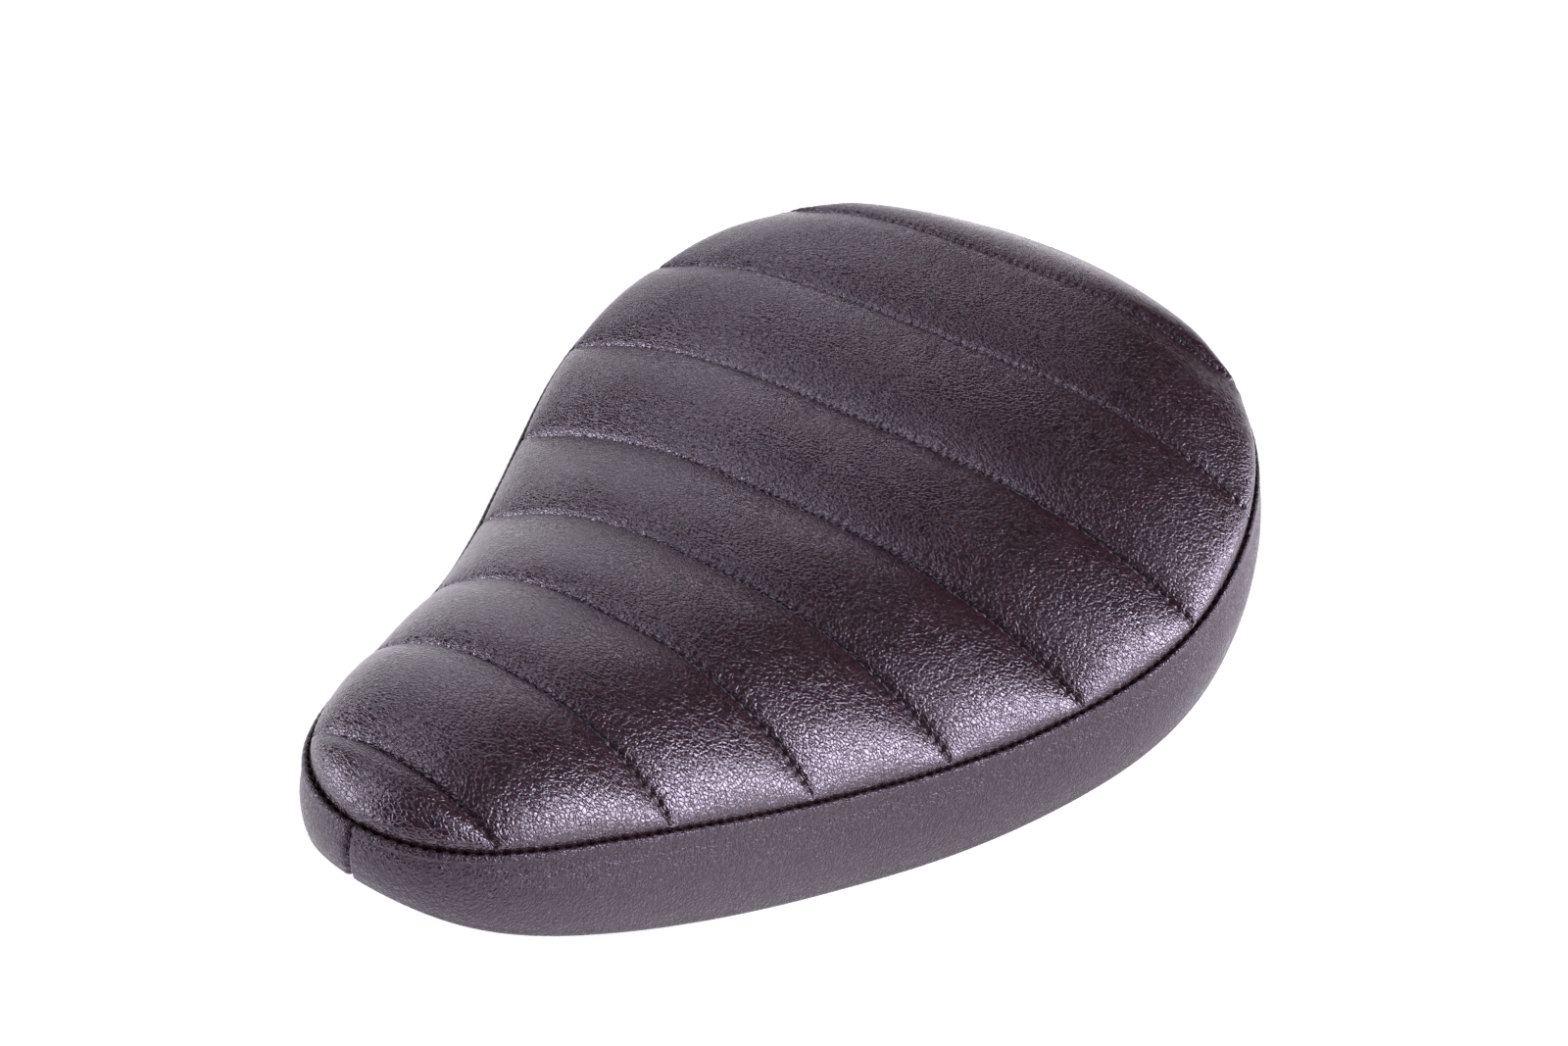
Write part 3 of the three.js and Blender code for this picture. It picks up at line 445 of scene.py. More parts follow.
def make_cover():
    step = PSTITCH / 4
    ring, nn, rs, side, rt = ring_points(-EDGE, step)
    batches = []
    rows0, rows1, rows2 = [], [], []
    for i in range(8):
        w = float(sX(t_at_y(seam_y(i))))
        sarr = np.arange(-int(_seam_s[i][-1] / 0.75), int(_seam_s[i][-1] / 0.75) + 1) * 0.75
        xs = np.interp(np.abs(sarr), _seam_s[i], _seam_x) * np.sign(sarr)
        for dy, bag in ((0, rows0), (0.38, rows1), (-0.38, rows1), (0.85, rows1), (-0.85, rows1), (1.5, rows2), (-1.5, rows2), (2.35, rows2), (-2.35, rows2)):
            wy = float(sX(t_at_y(seam_y(i) + dy)))
            bag += [(x, seam_y(i) + dy) for x in xs if abs(x) < wy - EDGE - 0.3]
    rings = []
    for off, st in ((0.75, step), (1.3, step), (2.0, step), (3.0, step * 1.33)):
        rings.append([tuple(p) for p in ring_points(-off, st, 0.5)[0]])
    grid = []
    g = 1.38
    k = 0; y = 0.5
    while y < SEAM_Y[-1]:
        w = float(sX(t_at_y(y)))
        off = (k % 2) * g / 2
        n = int(w / g) + 1
        grid += [(a * g + off, y) for a in range(-n - 1, n + 1) if abs(a * g + off) < w - 3.0]
        y += g * 0.87; k += 1
    gx = np.array(grid); gd, _ = to_outline(gx[:, 0], gx[:, 1])
    dys = np.abs(gx[:, 1] - seam_y(np.clip(np.round((gx[:, 1] - FIRST_SEAM) / PITCH), 0, 7)))
    grid = [tuple(p) for p, a, b in zip(grid, gd, dys) if a > 3.7 and b > 3.0]
    kept = thin_out([([tuple(p) for p in ring], 0.0), (rows0, 0.36), (rings[0], 0.36), (rows1, 0.3), (rings[1], 0.4), (rows2, 0.42), (rings[2], 0.45), (rings[3], 0.5), (grid, 0.7)], 0.75)
    inner = kept[len(ring):]
    co, tris, order = triangulated(ring, inner)
    d, s = to_outline(co[:, 0], co[:, 1])
    top = np.column_stack([co, cover_z(co[:, 0], co[:, 1], d, s)])
    verts = [top]; faces = [list(t) for t in tris]
    base = len(top); n = len(ring)
    last = np.array(order)
    zs = sZ(rt); saw = 0.5 + 0.5 * np.cos(2 * np.pi * rs / PSTITCH)
    for off, dz, pull in ((0.12, 0.15, 0.10), (0.0, -0.45, 0.2), (0.02, -1.3, 0.3), (0.25, -2.2, 0.15), (0.9, -2.7, 0.0)):
        p = ring_points(-off, step)[0] - nn * (pull * saw)[:, None]
        verts.append(np.column_stack([p, zs + dz]))
        cur = base + np.arange(n)
        for k in range(n):
            k2 = (k + 1) % n
            faces.append([last[k], cur[k], cur[k2], last[k2]])
        last = cur; base += n
    # underside on the padding
    ring_low = verts[-1][:, :2]
    low_grid = []
    y = 2.0; k = 0
    while y < SEAM_Y[-1] - 1:
        w = float(sX(t_at_y(y))); m = int(w / 3.4) + 1; off = (k % 2) * 1.7
        low_grid += [(a * 3.4 + off, y) for a in range(-m - 1, m + 1) if abs(a * 3.4 + off) < w - 2]
        y += 3.0; k += 1
    lg = np.array(low_grid); ld, _ = to_outline(lg[:, 0], lg[:, 1])
    low_grid = [tuple(p) for p, a in zip(low_grid, ld) if a > 2.6]
    co2, tris2, order2 = triangulated(ring_low, low_grid)
    inv = {o: k for k, o in enumerate(order2)}
    z2 = cover_z(co2[:, 0], co2[:, 1], fine=False) - COVER_T
    remap = np.empty(len(co2), int); extra = []
    for k in range(len(co2)):
        if k in inv:
            remap[k] = last[inv[k]]
        else:
            remap[k] = base + len(extra); extra.append((co2[k, 0], co2[k, 1], z2[k]))
    verts.append(np.array(extra))
    faces += [[remap[a] for a in t][::-1] for t in tris2]
    v = to_row(np.concatenate(verts))
    return v, faces

# ---------------------------------------------------------------- side bands
def knots_curve(K, per):
    """a smooth curve through columns of knots, K of shape (stations, knots, 2); per samples in each gap"""
    n = K.shape[1]; out = []
    for a in range(n - 1):
        p0, p1, p2, p3 = K[:, max(a - 1, 0)], K[:, a], K[:, a + 1], K[:, min(a + 2, n - 1)]
        d1 = np.linalg.norm(p2 - p1, axis=-1, keepdims=True) + 1e-9
        m1 = (p2 - p0) / (np.linalg.norm(p2 - p0, axis=-1, keepdims=True) + 1e-9) * d1 if a > 0 else p2 - p1
        m2 = (p3 - p1) / (np.linalg.norm(p3 - p1, axis=-1, keepdims=True) + 1e-9) * d1 if a + 2 < n else p2 - p1
        k = per[a]
        for b in range(k):
            s = b / k
            out.append((2 * s ** 3 - 3 * s ** 2 + 1) * p1 + (s ** 3 - 2 * s ** 2 + s) * m1 + (-2 * s ** 3 + 3 * s ** 2) * p2 + (s ** 3 - s ** 2) * m2)
    out.append(K[:, -1])
    return np.stack(out, 1)


def pan_under(x, y):
    return pan_top(x, y) - PAN_T


def make_band(side):
    step = PSTITCH / 4
    s = np.linspace(0, HALF, int(round(HALF / step)) + 1)
    extra = np.array([0.12, 0.3, 0.5, 1.1])
    s = np.unique(np.round(np.concatenate([s, extra, HALF - extra]), 5))
    p, n, t = outline(s)
    z, h, f = sZ(t), sH(t), sF(t)

    def bulge(q):
        return 1.6 * np.sin(np.pi * q ** 0.8) + f * (1 - (1 - q) ** 2)

    def under(o):
        return pan_under(p[:, 0] + n[:, 0] * o, p[:, 1] + n[:, 1] * o) - 0.55
    hem_in, hem_mid, rim = f - HEM_W, f - HEM_W / 2 - 0.5, f - 2.6
    zb = z - h
    zr = np.minimum(under(rim), zb + BAND_T + 0.2)
    zm, zi = under(hem_mid), under(hem_in)
    o1 = np.ones_like(z)

    def k(*pairs):
        return np.stack([np.stack([a * o1, b * o1], -1) for a, b in pairs], 1)
    lip = k((0.26 * o1, z - 4.2), (0.26 * o1, z - 3.0), (0.30 * o1, z - 2.0), (0.50 * o1, z - 1.22), (0.95 * o1, z - 0.92), (1.48 * o1, z - 1.20), (1.86 * o1, z - 1.88), (2.02 * o1, z - 2.8),
            (bulge(.15) + .02, z - .15 * h), (bulge(.27), z - .27 * h), (bulge(.5), z - .5 * h), (bulge(.75), z - .75 * h), (bulge(.91) - .15, z - .91 * h), (f - .25, z - .975 * h), (f - 1.7, zb - 0.05),
            (hem_mid + 2.2, (zm + zb) / 2 - BAND_T * .6), (hem_mid, zm - BAND_T), (hem_in + .5, zi - BAND_T), (hem_in, zi - BAND_T * .5), (hem_in + .4, zi), (hem_mid, zm), (f - 2.3, zr),
            (bulge(.88) - BAND_T - .2, z - .88 * h + .6), (bulge(.5) - BAND_T, z - .5 * h), (bulge(.2) - BAND_T - .1, z - .24 * h), (0.26 * o1, z - 4.2))
    per = [2, 2, 2, 2, 2, 2, 2, 3, 4, 6, 6, 4, 3, 2, 3, 3, 3, 2, 2, 2, 2, 3, 3, 2, 2]
    C = knots_curve(lip, per)[:, :-1]          # stations, ring, (offset, z)
    ring_z = (z[:, None] - C[..., 1]) / h[:, None]
    S = s[:, None] + 0 * C[..., 0]
    ph = S / PSTITCH
    idx = np.arange(C.shape[1])[None] + 0 * C[..., 0]
    i_lip0, i_face, i_hem, i_in = 2, sum(per[:8]), sum(per[:14]), sum(per[:18])
    on_lip = np.exp(-((idx - 7.5) / 4.0) ** 2)
    saw = 0.5 + 0.5 * np.cos(2 * np.pi * ph)    # 1 at each stitch hole
    C[..., 1] -= on_lip * 0.26 * saw * (1 + 0.35 * wave(S, 41, 5.0))
    C[..., 0] += on_lip * 0.14 * saw - on_lip * 0.05
    outer = (idx >= 7) & (idx <= i_hem)
    # pinches run down the face a few millimetres under each stitch, and the face has its own slow unevenness
    down = np.clip(z[:, None] - C[..., 1], 0, None)
    face = outer * (1 - np.exp(-down / 0.8))
    C[..., 0] += face * (-0.10 * np.cos(2 * np.pi * ph) * np.exp(-down / 2.4) * (1 + 0.6 * wave(S, 42, 4.2)))
    C[..., 0] += face * (0.10 * wave2(S, down, 43, 14.0) + 0.05 * wave2(S, down, 44, 5.0)) * np.clip(1 - ring_z, 0, 1) ** 0.5
    # hem gathers where it is turned under
    hem = (idx > i_hem + 2) & (idx <= i_in + 1)
    C[..., 1] -= hem * np.abs(0.32 * wave(S, 45, 5.5) + 0.2 * wave(S, 46, 2.4))
    C[..., 0] += ((idx > i_hem + 8) & (idx <= i_in + 2)) * 0.7 * wave(S, 47, 9.0)
    x = p[:, None, 0] + n[:, None, 0] * C[..., 0]; y = p[:, None, 1] + n[:, None, 1] * C[..., 0]; zz = C[..., 1]
    # the two bands are joined at nose and tail with their ends turned in
    e = np.maximum(np.minimum(s, HALF - s), 0)[:, None]
    tuck = 1.15 * np.exp(-(e / 0.62) ** 1.6) + 0.14 * np.exp(-e / 2.2) * (1 + wave(zz, 48, 2.5))
    puckr = 0.12 * np.exp(-e / 1.6) * np.cos(2 * np.pi * zz / STITCH) * (e > 0.2)
    oo = (idx >= 3) & (idx <= i_hem + 6)
    x -= n[:, None, 0] * (tuck + puckr) * oo; y -= n[:, None, 1] * (tuck + puckr) * oo
    top = (idx >= 3) & (idx <= 12)
    zz = zz - top * 0.55 * np.exp(-(e / 0.8) ** 1.5)
    x = np.maximum(x, 0.07)
    x[0], x[-1] = 0.07, 0.07
    R, K = x.shape
    v = np.stack([x * side, y, zz], -1).reshape(-1, 3)
    faces = [list(q) for q in grid_faces(R, K, wrap_c=True)]
    faces.append(list(range(K))); faces.append(list(range((R - 1) * K, R * K))[::-1])
    return to_row(v), faces


# ---------------------------------------------------------------- threads
def tubes(paths, radius, sides=8):
    """separate round tubes along the paths, (count, rings, 3) in mm, tapered shut at both ends"""
    P = np.asarray(paths, float); N, L, _ = P.shape
    T = np.gradient(P, axis=1); T /= np.linalg.norm(T, axis=-1, keepdims=True) + 1e-12
    upv = np.array([0, 0, 1.0]); A = np.cross(T, upv); A /= np.linalg.norm(A, axis=-1, keepdims=True) + 1e-12
    B = np.cross(A, T)
    prof = np.clip(np.sin(np.pi * (np.arange(L) + 0.35) / (L - 0.3)), 0, 1) ** 0.45
    a = 2 * np.pi * np.arange(sides) / sides
    ring = P[:, :, None] + (np.cos(a)[None, None, :, None] * A[:, :, None] + np.sin(a)[None, None, :, None] * B[:, :, None]) * (radius * prof)[None, :, None, None]
    verts = ring.reshape(-1, 3); faces = []
    base = (np.arange(N) * L * sides)
    g = grid_faces(L, sides, wrap_c=True)
    faces = (g[None] + base[:, None, None]).reshape(-1, 4).tolist()
    for b in base:
        faces.append([int(b + k) for k in range(sides)][::-1]); faces.append([int(b + (L - 1) * sides + k) for k in range(sides)])
    return verts, faces


def seam_thread(i):
    half = int(_seam_s[i][-1] / STITCH * 0 + np.interp(float(sX(t_at_y(seam_y(i)))), _seam_x, _seam_s[i]) / STITCH)
    k = np.arange(-half, half)
    u = np.linspace(0, 1, 9)
    rng = np.random.default_rng(500 + i)
    s = (k[:, None] + 0.08 + 0.84 * u[None]) * STITCH + rng.uniform(-.08, .08, (len(k), 1))
    x = np.interp(np.abs(s), _seam_s[i], _seam_x) * np.sign(s)
    y = seam_y(i) + (u[None] - 0.5) * 0.32 + rng.uniform(-.05, .05, (len(k), 1))
    z = seam_arch(i, x) - 0.56 + 0.46 * np.sin(np.pi * u)[None] ** 0.7
    return np.stack([x, y + 0 * x, z], -1)


def perimeter_thread():
    k = np.arange(2 * N_STITCH); u = np.linspace(0, 1, 8)
    s = (k[:, None] + 0.1 + 0.8 * u[None]) * PSTITCH
    side = np.where(s <= HALF, 1.0, -1.0); sh = np.where(s <= HALF, s, 2 * HALF - s)
    p, n, t = outline(sh.ravel())
    o = (0.05 + 0.12 * np.sin(np.pi * u))[None] + 0 * s
    x = (p[:, 0] + n[:, 0] * o.ravel()).reshape(s.shape) * side; y = (p[:, 1] + n[:, 1] * o.ravel()).reshape(s.shape)
    z = sZ(t).reshape(s.shape) - 2.1 + 0.45 * np.sin(np.pi * u)[None]
    return np.stack([x, y, z], -1)

# ---------------------------------------------------------------- materials
def nodes_of(name):
    m = bpy.data.materials.new(name); m.use_nodes = True
    nt = m.node_tree; nt.nodes.clear()
    out = nt.nodes.new("ShaderNodeOutputMaterial"); bs = nt.nodes.new("ShaderNodeBsdfPrincipled")
    nt.links.new(bs.outputs[0], out.inputs[0])
    return m, nt, bs


class Net:
    """short hand for building node graphs"""

    def __init__(self, nt):
        self.nt = nt
        tc = nt.nodes.new("ShaderNodeTexCoord")
        mm = nt.nodes.new("ShaderNodeVectorMath"); mm.operation = "SCALE"; mm.inputs[3].default_value = 1000.0
        nt.links.new(tc.outputs["Object"], mm.inputs[0])
        self.mm = mm.outputs[0]

    def link(self, a, b):
        self.nt.links.new(a, b)

    def put(self, sock, v):
        if isinstance(v, bpy.types.NodeSocket):
            self.link(v, sock)
        else:
            sock.default_value = v

    def math(self, op, a, b=0.0, c=0.0, clamp=False):
        n = self.nt.nodes.new("ShaderNodeMath"); n.operation = op; n.use_clamp = clamp
        for s, v in zip(n.inputs, (a, b, c)):
            self.put(s, v)
        return n.outputs[0]

    def vmath(self, op, a, b=(0, 0, 0), scale=None):
        n = self.nt.nodes.new("ShaderNodeVectorMath"); n.operation = op
        self.put(n.inputs[0], a)
        if scale is None:
            self.put(n.inputs[1], b)
        else:
            n.inputs[3].default_value = scale
        return n.outputs[0]

    def noise(self, vec, scale, detail=2.0, rough=0.5, color=False):
        n = self.nt.nodes.new("ShaderNodeTexNoise"); self.link(vec, n.inputs["Vector"])
        n.inputs["Scale"].default_value = scale; n.inputs["Detail"].default_value = detail; n.inputs["Roughness"].default_value = rough
        return n.outputs["Color" if color else "Fac"]

    def voronoi(self, vec, scale, feature="DISTANCE_TO_EDGE", rnd=1.0, out="Distance"):
        n = self.nt.nodes.new("ShaderNodeTexVoronoi"); n.feature = feature; self.link(vec, n.inputs["Vector"])
        n.inputs["Scale"].default_value = scale; n.inputs["Randomness"].default_value = rnd
        return n.outputs[out]

    def ramp(self, fac, stops, interp="LINEAR"):
        n = self.nt.nodes.new("ShaderNodeValToRGB"); n.color_ramp.interpolation = interp
        while len(n.color_ramp.elements) < len(stops):
            n.color_ramp.elements.new(0.5)
        for e, (p, c) in zip(n.color_ramp.elements, stops):
            e.position = p; e.color = (*c, 1) if len(c) == 3 else c
        self.link(fac, n.inputs[0])
        return n.outputs[0]

    def span(self, v, a, b, lo=0.0, hi=1.0, smooth=False):
        n = self.nt.nodes.new("ShaderNodeMapRange"); n.interpolation_type = "SMOOTHSTEP" if smooth else "LINEAR"
        for k, q in enumerate((v, a, b, lo, hi)):
            self.put(n.inputs[k], q)
        return n.outputs[0]

    def mix(self, fac, a, b):
        n = self.nt.nodes.new("ShaderNodeMix"); n.data_type = "RGBA"
        self.put(n.inputs[0], fac)
        self.put(n.inputs[6], a if isinstance(a, bpy.types.NodeSocket) else (*a, 1)); self.put(n.inputs[7], b if isinstance(b, bpy.types.NodeSocket) else (*b, 1))
        return n.outputs[2]

    def bump(self, height, dist, strength=1.0, after=None):
        n = self.nt.nodes.new("ShaderNodeBump"); n.inputs["Distance"].default_value = dist; n.inputs["Strength"].default_value = strength
        self.link(height, n.inputs["Height"])
        if after is not None:
            self.link(after, n.inputs["Normal"])
        return n.outputs[0]


def leather(name, cell=1.5, depth=0.00010, base=(0.030, 0.0112, 0.0160), rough=(0.20, 0.45), stretch=(0.8, 1.25, 1.0), crease=0.22, dark=0.25, wrink=0.5, spec=0.56, tint=(0.90, 0.87, 1.0), haze=0.0):
    m, nt, bs = nodes_of(name); N = Net(nt)
    b0 = N.vmath("MULTIPLY", N.mm, stretch)
    warp = N.vmath("SUBTRACT", N.noise(b0, 0.55 / cell, 2.0, 0.5, True), (0.5, 0.5, 0.5))
    v = N.vmath("ADD", b0, N.vmath("SCALE", warp, scale=cell * 1.6))
    edge = N.voronoi(v, 1.0 / cell)
    broad = N.noise(N.mm, 0.045, 3.0, 0.5)
    size = N.noise(N.mm, 0.22, 2.0, 0.5)
    wide = N.span(size, 0.3, 0.7, crease * 0.7, crease * 1.35)
    peb = N.span(edge, 0.0, wide, smooth=True)
    dome = N.math("POWER", N.math("MULTIPLY", edge, 2.0), 0.6)
    fine = N.noise(v, 1.15 / cell, 3.0, 0.6)
    h = N.math("ADD", N.math("MULTIPLY", peb, 0.45), N.math("MULTIPLY", dome, 0.75))
    h = N.math("ADD", h, N.math("MULTIPLY", fine, wrink * 2.2))
    N.link(N.bump(h, depth), bs.inputs["Normal"])
    # base colour with painted shade: darkest in the grain's creases (down to the dark share of the base) and a little
    # darker in the hollows of the fine wrinkles of the bump; the broad noise adds random tone
    grain_shade_and_tone = N.math("MULTIPLY", N.span(peb, 0.0, 1.0, dark, 1.0), N.span(broad, 0.25, 0.75, 0.88, 1.10))
    grain_shade_and_tone = N.math("MULTIPLY", grain_shade_and_tone, N.span(fine, 0.3, 0.7, 0.75, 1.1))
    N.link(N.ramp(grain_shade_and_tone, [(0.0, [c * 0.08 for c in base]), (1.0, list(base))]), bs.inputs["Base Color"])
    r = N.math("ADD", N.span(peb, 0.0, 1.0, rough[1], rough[0]), N.span(broad, 0.3, 0.7, -0.02, 0.03))
    N.link(r, bs.inputs["Roughness"])
    bs.inputs["IOR"].default_value = 1.5
    bs.inputs["Specular IOR Level"].default_value = spec
    bs.inputs["Specular Tint"].default_value = (*tint, 1)
    return m


LEATHER_TOP = leather("pebbled_leather", cell=1.18, depth=0.000092, base=(0.026, 0.0096, 0.0138), rough=(0.16, 0.26), stretch=(0.7, 1.3, 1.0), crease=0.17, dark=0.08, wrink=0.75, spec=0.9, tint=(0.87, 0.83, 1.0))
LEATHER_BAND = leather("band_leather", cell=1.05, depth=0.00014, base=(0.022, 0.0082, 0.0130), rough=(0.20, 0.40), stretch=(1.0, 1.0, 0.8), crease=0.24, dark=0.15, wrink=0.9, spec=0.55, tint=(0.88, 0.78, 1.0))



def thread_mat():
    m, nt, bs = nodes_of("bonded_thread"); N = Net(nt)
    w = nt.nodes.new("ShaderNodeTexWave"); w.wave_type = "BANDS"; w.bands_direction = "DIAGONAL"
    N.link(N.mm, w.inputs["Vector"]); w.inputs["Scale"].default_value = 1.1; w.inputs["Distortion"].default_value = 0.6
    N.link(N.ramp(w.outputs["Fac"], [(0, (0.004, 0.004, 0.0055)), (1, (0.017, 0.016, 0.021))]), bs.inputs["Base Color"])
    N.link(N.bump(w.outputs["Fac"], 0.00006), bs.inputs["Normal"])
    N.link(N.span(N.noise(N.mm, 3.0), 0.3, 0.7, 0.36, 0.5), bs.inputs["Roughness"])
    return m


def coat_mat():
    m, nt, bs = nodes_of("powder_coat"); N = Net(nt)
    peel = N.noise(N.mm, 1.3, 3.0, 0.6); broad = N.noise(N.mm, 0.05, 4.0, 0.6)
    N.link(N.ramp(broad, [(0.3, (0.010, 0.010, 0.0115)), (0.7, (0.020, 0.020, 0.022))]), bs.inputs["Base Color"])
    N.link(N.span(broad, 0.3, 0.7, 0.34, 0.5), bs.inputs["Roughness"])
    N.link(N.bump(peel, 0.00005), bs.inputs["Normal"])
    return m


def metal_mat(name, a, b, rough, scratch=0.00001):
    m, nt, bs = nodes_of(name); N = Net(nt)
    broad = N.noise(N.mm, 0.22, 4.0, 0.6); fine = N.noise(N.vmath("MULTIPLY", N.mm, (1, 1, 9)), 1.6, 3.0, 0.6)
    N.link(N.ramp(broad, [(0.3, a), (0.7, b)]), bs.inputs["Base Color"])
    bs.inputs["Metallic"].default_value = 1.0
    N.link(N.span(N.noise(N.mm, 0.5, 4, 0.7), 0.3, 0.7, rough[0], rough[1]), bs.inputs["Roughness"])
    N.link(N.bump(fine, scratch), bs.inputs["Normal"])
    return m


def rubber_mat():
    m, nt, bs = nodes_of("rubber"); N = Net(nt)
    n = N.noise(N.mm, 0.9, 4.0, 0.6)
    N.link(N.ramp(n, [(0.3, (0.014, 0.014, 0.014)), (0.7, (0.026, 0.026, 0.025))]), bs.inputs["Base Color"])
    N.link(N.span(n, 0.3, 0.7, 0.62, 0.82), bs.inputs["Roughness"])
    N.link(N.bump(N.noise(N.mm, 3.0, 3.0), 0.00006), bs.inputs["Normal"])
    return m


def nylon_mat():
    m, nt, bs = nodes_of("nylon"); N = Net(nt)
    n = N.noise(N.mm, 0.6, 3.0, 0.5)
    N.link(N.ramp(n, [(0.3, (0.62, 0.60, 0.53)), (0.7, (0.72, 0.70, 0.64))]), bs.inputs["Base Color"])
    N.link(N.span(n, 0.3, 0.7, 0.38, 0.52), bs.inputs["Roughness"])
    N.link(N.bump(n, 0.00003), bs.inputs["Normal"])
    return m


def foam_mat():
    m, nt, bs = nodes_of("open_cell_foam"); N = Net(nt)
    v = N.voronoi(N.mm, 1.3); n = N.noise(N.mm, 0.12, 4.0, 0.6)
    N.link(N.mix(N.span(v, 0.0, 0.2), N.ramp(n, [(0.3, (0.40, 0.35, 0.22)), (0.7, (0.50, 0.45, 0.30))]), (0.66, 0.60, 0.43)), bs.inputs["Base Color"])
    N.link(N.span(v, 0, 0.3, 0.98, 0.86), bs.inputs["Roughness"])
    N.link(N.bump(v, 0.0004), bs.inputs["Normal"])
    return m


def scrim_mat():
    m, nt, bs = nodes_of("scrim_cloth"); N = Net(nt)
    sp = nt.nodes.new("ShaderNodeSeparateXYZ"); N.link(N.mm, sp.inputs[0])
    a = N.math("SINE", N.math("MULTIPLY", sp.outputs[0], 7.0)); b = N.math("SINE", N.math("MULTIPLY", sp.outputs[1], 7.0))
    w = N.math("MULTIPLY", N.math("ADD", N.math("ABSOLUTE", a), N.math("ABSOLUTE", b)), 0.5)
    N.link(N.ramp(w, [(0.0, (0.45, 0.43, 0.37)), (1.0, (0.76, 0.74, 0.67))]), bs.inputs["Base Color"])
    bs.inputs["Roughness"].default_value = 0.9
    N.link(N.bump(w, 0.0001), bs.inputs["Normal"])
    return m


THREAD, COAT, RUBBER, NYLON, FOAM, SCRIM = thread_mat(), coat_mat(), rubber_mat(), nylon_mat(), foam_mat(), scrim_mat()
ZINC = metal_mat("zinc_plate", (0.50, 0.52, 0.54), (0.66, 0.68, 0.70), (0.22, 0.40))
BRONZE = metal_mat("bronze", (0.42, 0.27, 0.12), (0.56, 0.38, 0.18), (0.3, 0.5))

# ---------------------------------------------------------------- leather pieces
v, f = make_cover()
cover = build("pleated_cover", v, f, mats=[LEATHER_TOP]); face_out(cover)
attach(cover, "seat"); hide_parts("top_cover")
for side, sign in (("left", 1), ("right", -1)):
    v, f = make_band(sign)
    band = build(f"side_band_{side}_leather", v, f, mats=[LEATHER_BAND]); face_out(band)
    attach(band, "seat"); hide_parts(f"side_band_{side}")
for i in range(8):
    v, f = tubes(seam_thread(i), 0.30)
    th = build(f"seam_thread_{i + 1}", to_row(v), f, mats=[THREAD]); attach(th, "seat")
v, f = tubes(perimeter_thread(), 0.26)
th = build("perimeter_thread", to_row(v), f, mats=[THREAD]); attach(th, "seat")

# ---------------------------------------------------------------- foam, scrim
def to_seat(v):
    """row frame (m) back to the seat frame (mm)"""
    v = np.asarray(v, float) * 1000
    a, b = v[:, 1] + 162.574, v[:, 2] - 77.489
    return np.column_stack([v[:, 0], 0.98481 * a - 0.17365 * b, 0.17365 * a + 0.98481 * b])


def inside(poly, pts):
    a, b = poly, np.roll(poly, -1, 0); hit = np.zeros(len(pts), bool)
    for (x0, y0), (x1, y1) in zip(a, b):
        if y0 != y1:
            m = (pts[:, 1] > min(y0, y1)) & (pts[:, 1] <= max(y0, y1))
            hit ^= m & (pts[:, 0] < x0 + (pts[:, 1] - y0) * (x1 - x0) / (y1 - y0))
    return hit


def soft_slab(poly, top, low, r, g):
    """a closed layer with rounded edges between two surfaces; poly runs anticlockwise"""
    t = np.roll(poly, -1, 0) - np.roll(poly, 1, 0); t /= np.linalg.norm(t, axis=1)[:, None]
    inw = np.column_stack([-t[:, 1], t[:, 0]])
    ring = poly + inw * r
    gx, gy = np.meshgrid(np.arange(ring[:, 0].min(), ring[:, 0].max(), g), np.arange(ring[:, 1].min(), ring[:, 1].max(), g))
    gx[1::2] += g / 2
    pts = np.column_stack([gx.ravel(), gy.ravel()]); pts = pts[inside(ring, pts)]
    near = np.min(np.hypot(pts[:, None, 0] - ring[None, :, 0], pts[:, None, 1] - ring[None, :, 1]), 1)
    co, tris, order = triangulated(ring, [tuple(p) for p in pts[near > 0.6 * g]])
    K, n = len(co), len(ring)
    zt, zl = top(co[:, 0], co[:, 1]), low(co[:, 0], co[:, 1])
    zt, zl = np.maximum(zt, zl + 0.6), zl
    zrt, zrl = zt[order], zl[order]
    rr = np.minimum(r, (zrt - zrl) / 2)
    verts = [np.column_stack([co, zt]), np.column_stack([co, zl])]; rings = [np.array(order)]
    base = 2 * K
    for a in (30, 60, 90):
        a = math.radians(a)
        verts.append(np.column_stack([poly + inw * (r * (1 - math.sin(a))), zrt - rr * (1 - math.cos(a))])); rings.append(base + np.arange(n)); base += n
    for a in (90, 60, 30):
        a = math.radians(a)
        verts.append(np.column_stack([poly + inw * (r * (1 - math.sin(a))), zrl + rr * (1 - math.cos(a))])); rings.append(base + np.arange(n)); base += n
    rings.append(np.array(order) + K)
    faces = [list(t) for t in tris] + [[q + K for q in t][::-1] for t in tris]
    for A, B in zip(rings[:-1], rings[1:]):
        for k in range(n):
            k2 = (k + 1) % n
            faces.append([A[k], B[k], B[k2], A[k2]])
    return to_row(np.concatenate(verts)), faces


INNER = 3.5
_ip = ring_points(-INNER, 2.0)[0]
_half = _ip[_ip[:, 0] >= 0]; _half = _half[np.argsort(_half[:, 1])]


def between_rows(a, b):
    side = _half[(_half[:, 1] > a + 1.5) & (_half[:, 1] < b - 1.5) & (_half[:, 0] > 1.0)]
    for e in (a, b):
        w = float(np.interp(e, _half[:, 1], _half[:, 0])); side = side[np.hypot(side[:, 0] - w, side[:, 1] - e) > 4.2]
    poly = [tuple(p) for p in side]
    if b < _half[-1, 1]:
        w = float(np.interp(b, _half[:, 1], _half[:, 0])); poly += [(w, b), *((x, b) for x in np.linspace(w - 4.2, 4.2 - w, max(int(w), 6))), (-w, b)]
    poly += [(-p[0], p[1]) for p in side[::-1]]
    if a > _half[0, 1]:
        w = float(np.interp(a, _half[:, 1], _half[:, 0])); poly += [(-w, a), *((x, a) for x in np.linspace(4.2 - w, w - 4.2, max(int(w), 6))), (w, a)]
    return np.array(poly)


def pad_top(x, y):
    return cover_z(x, y, fine=False) - COVER_T - GAP


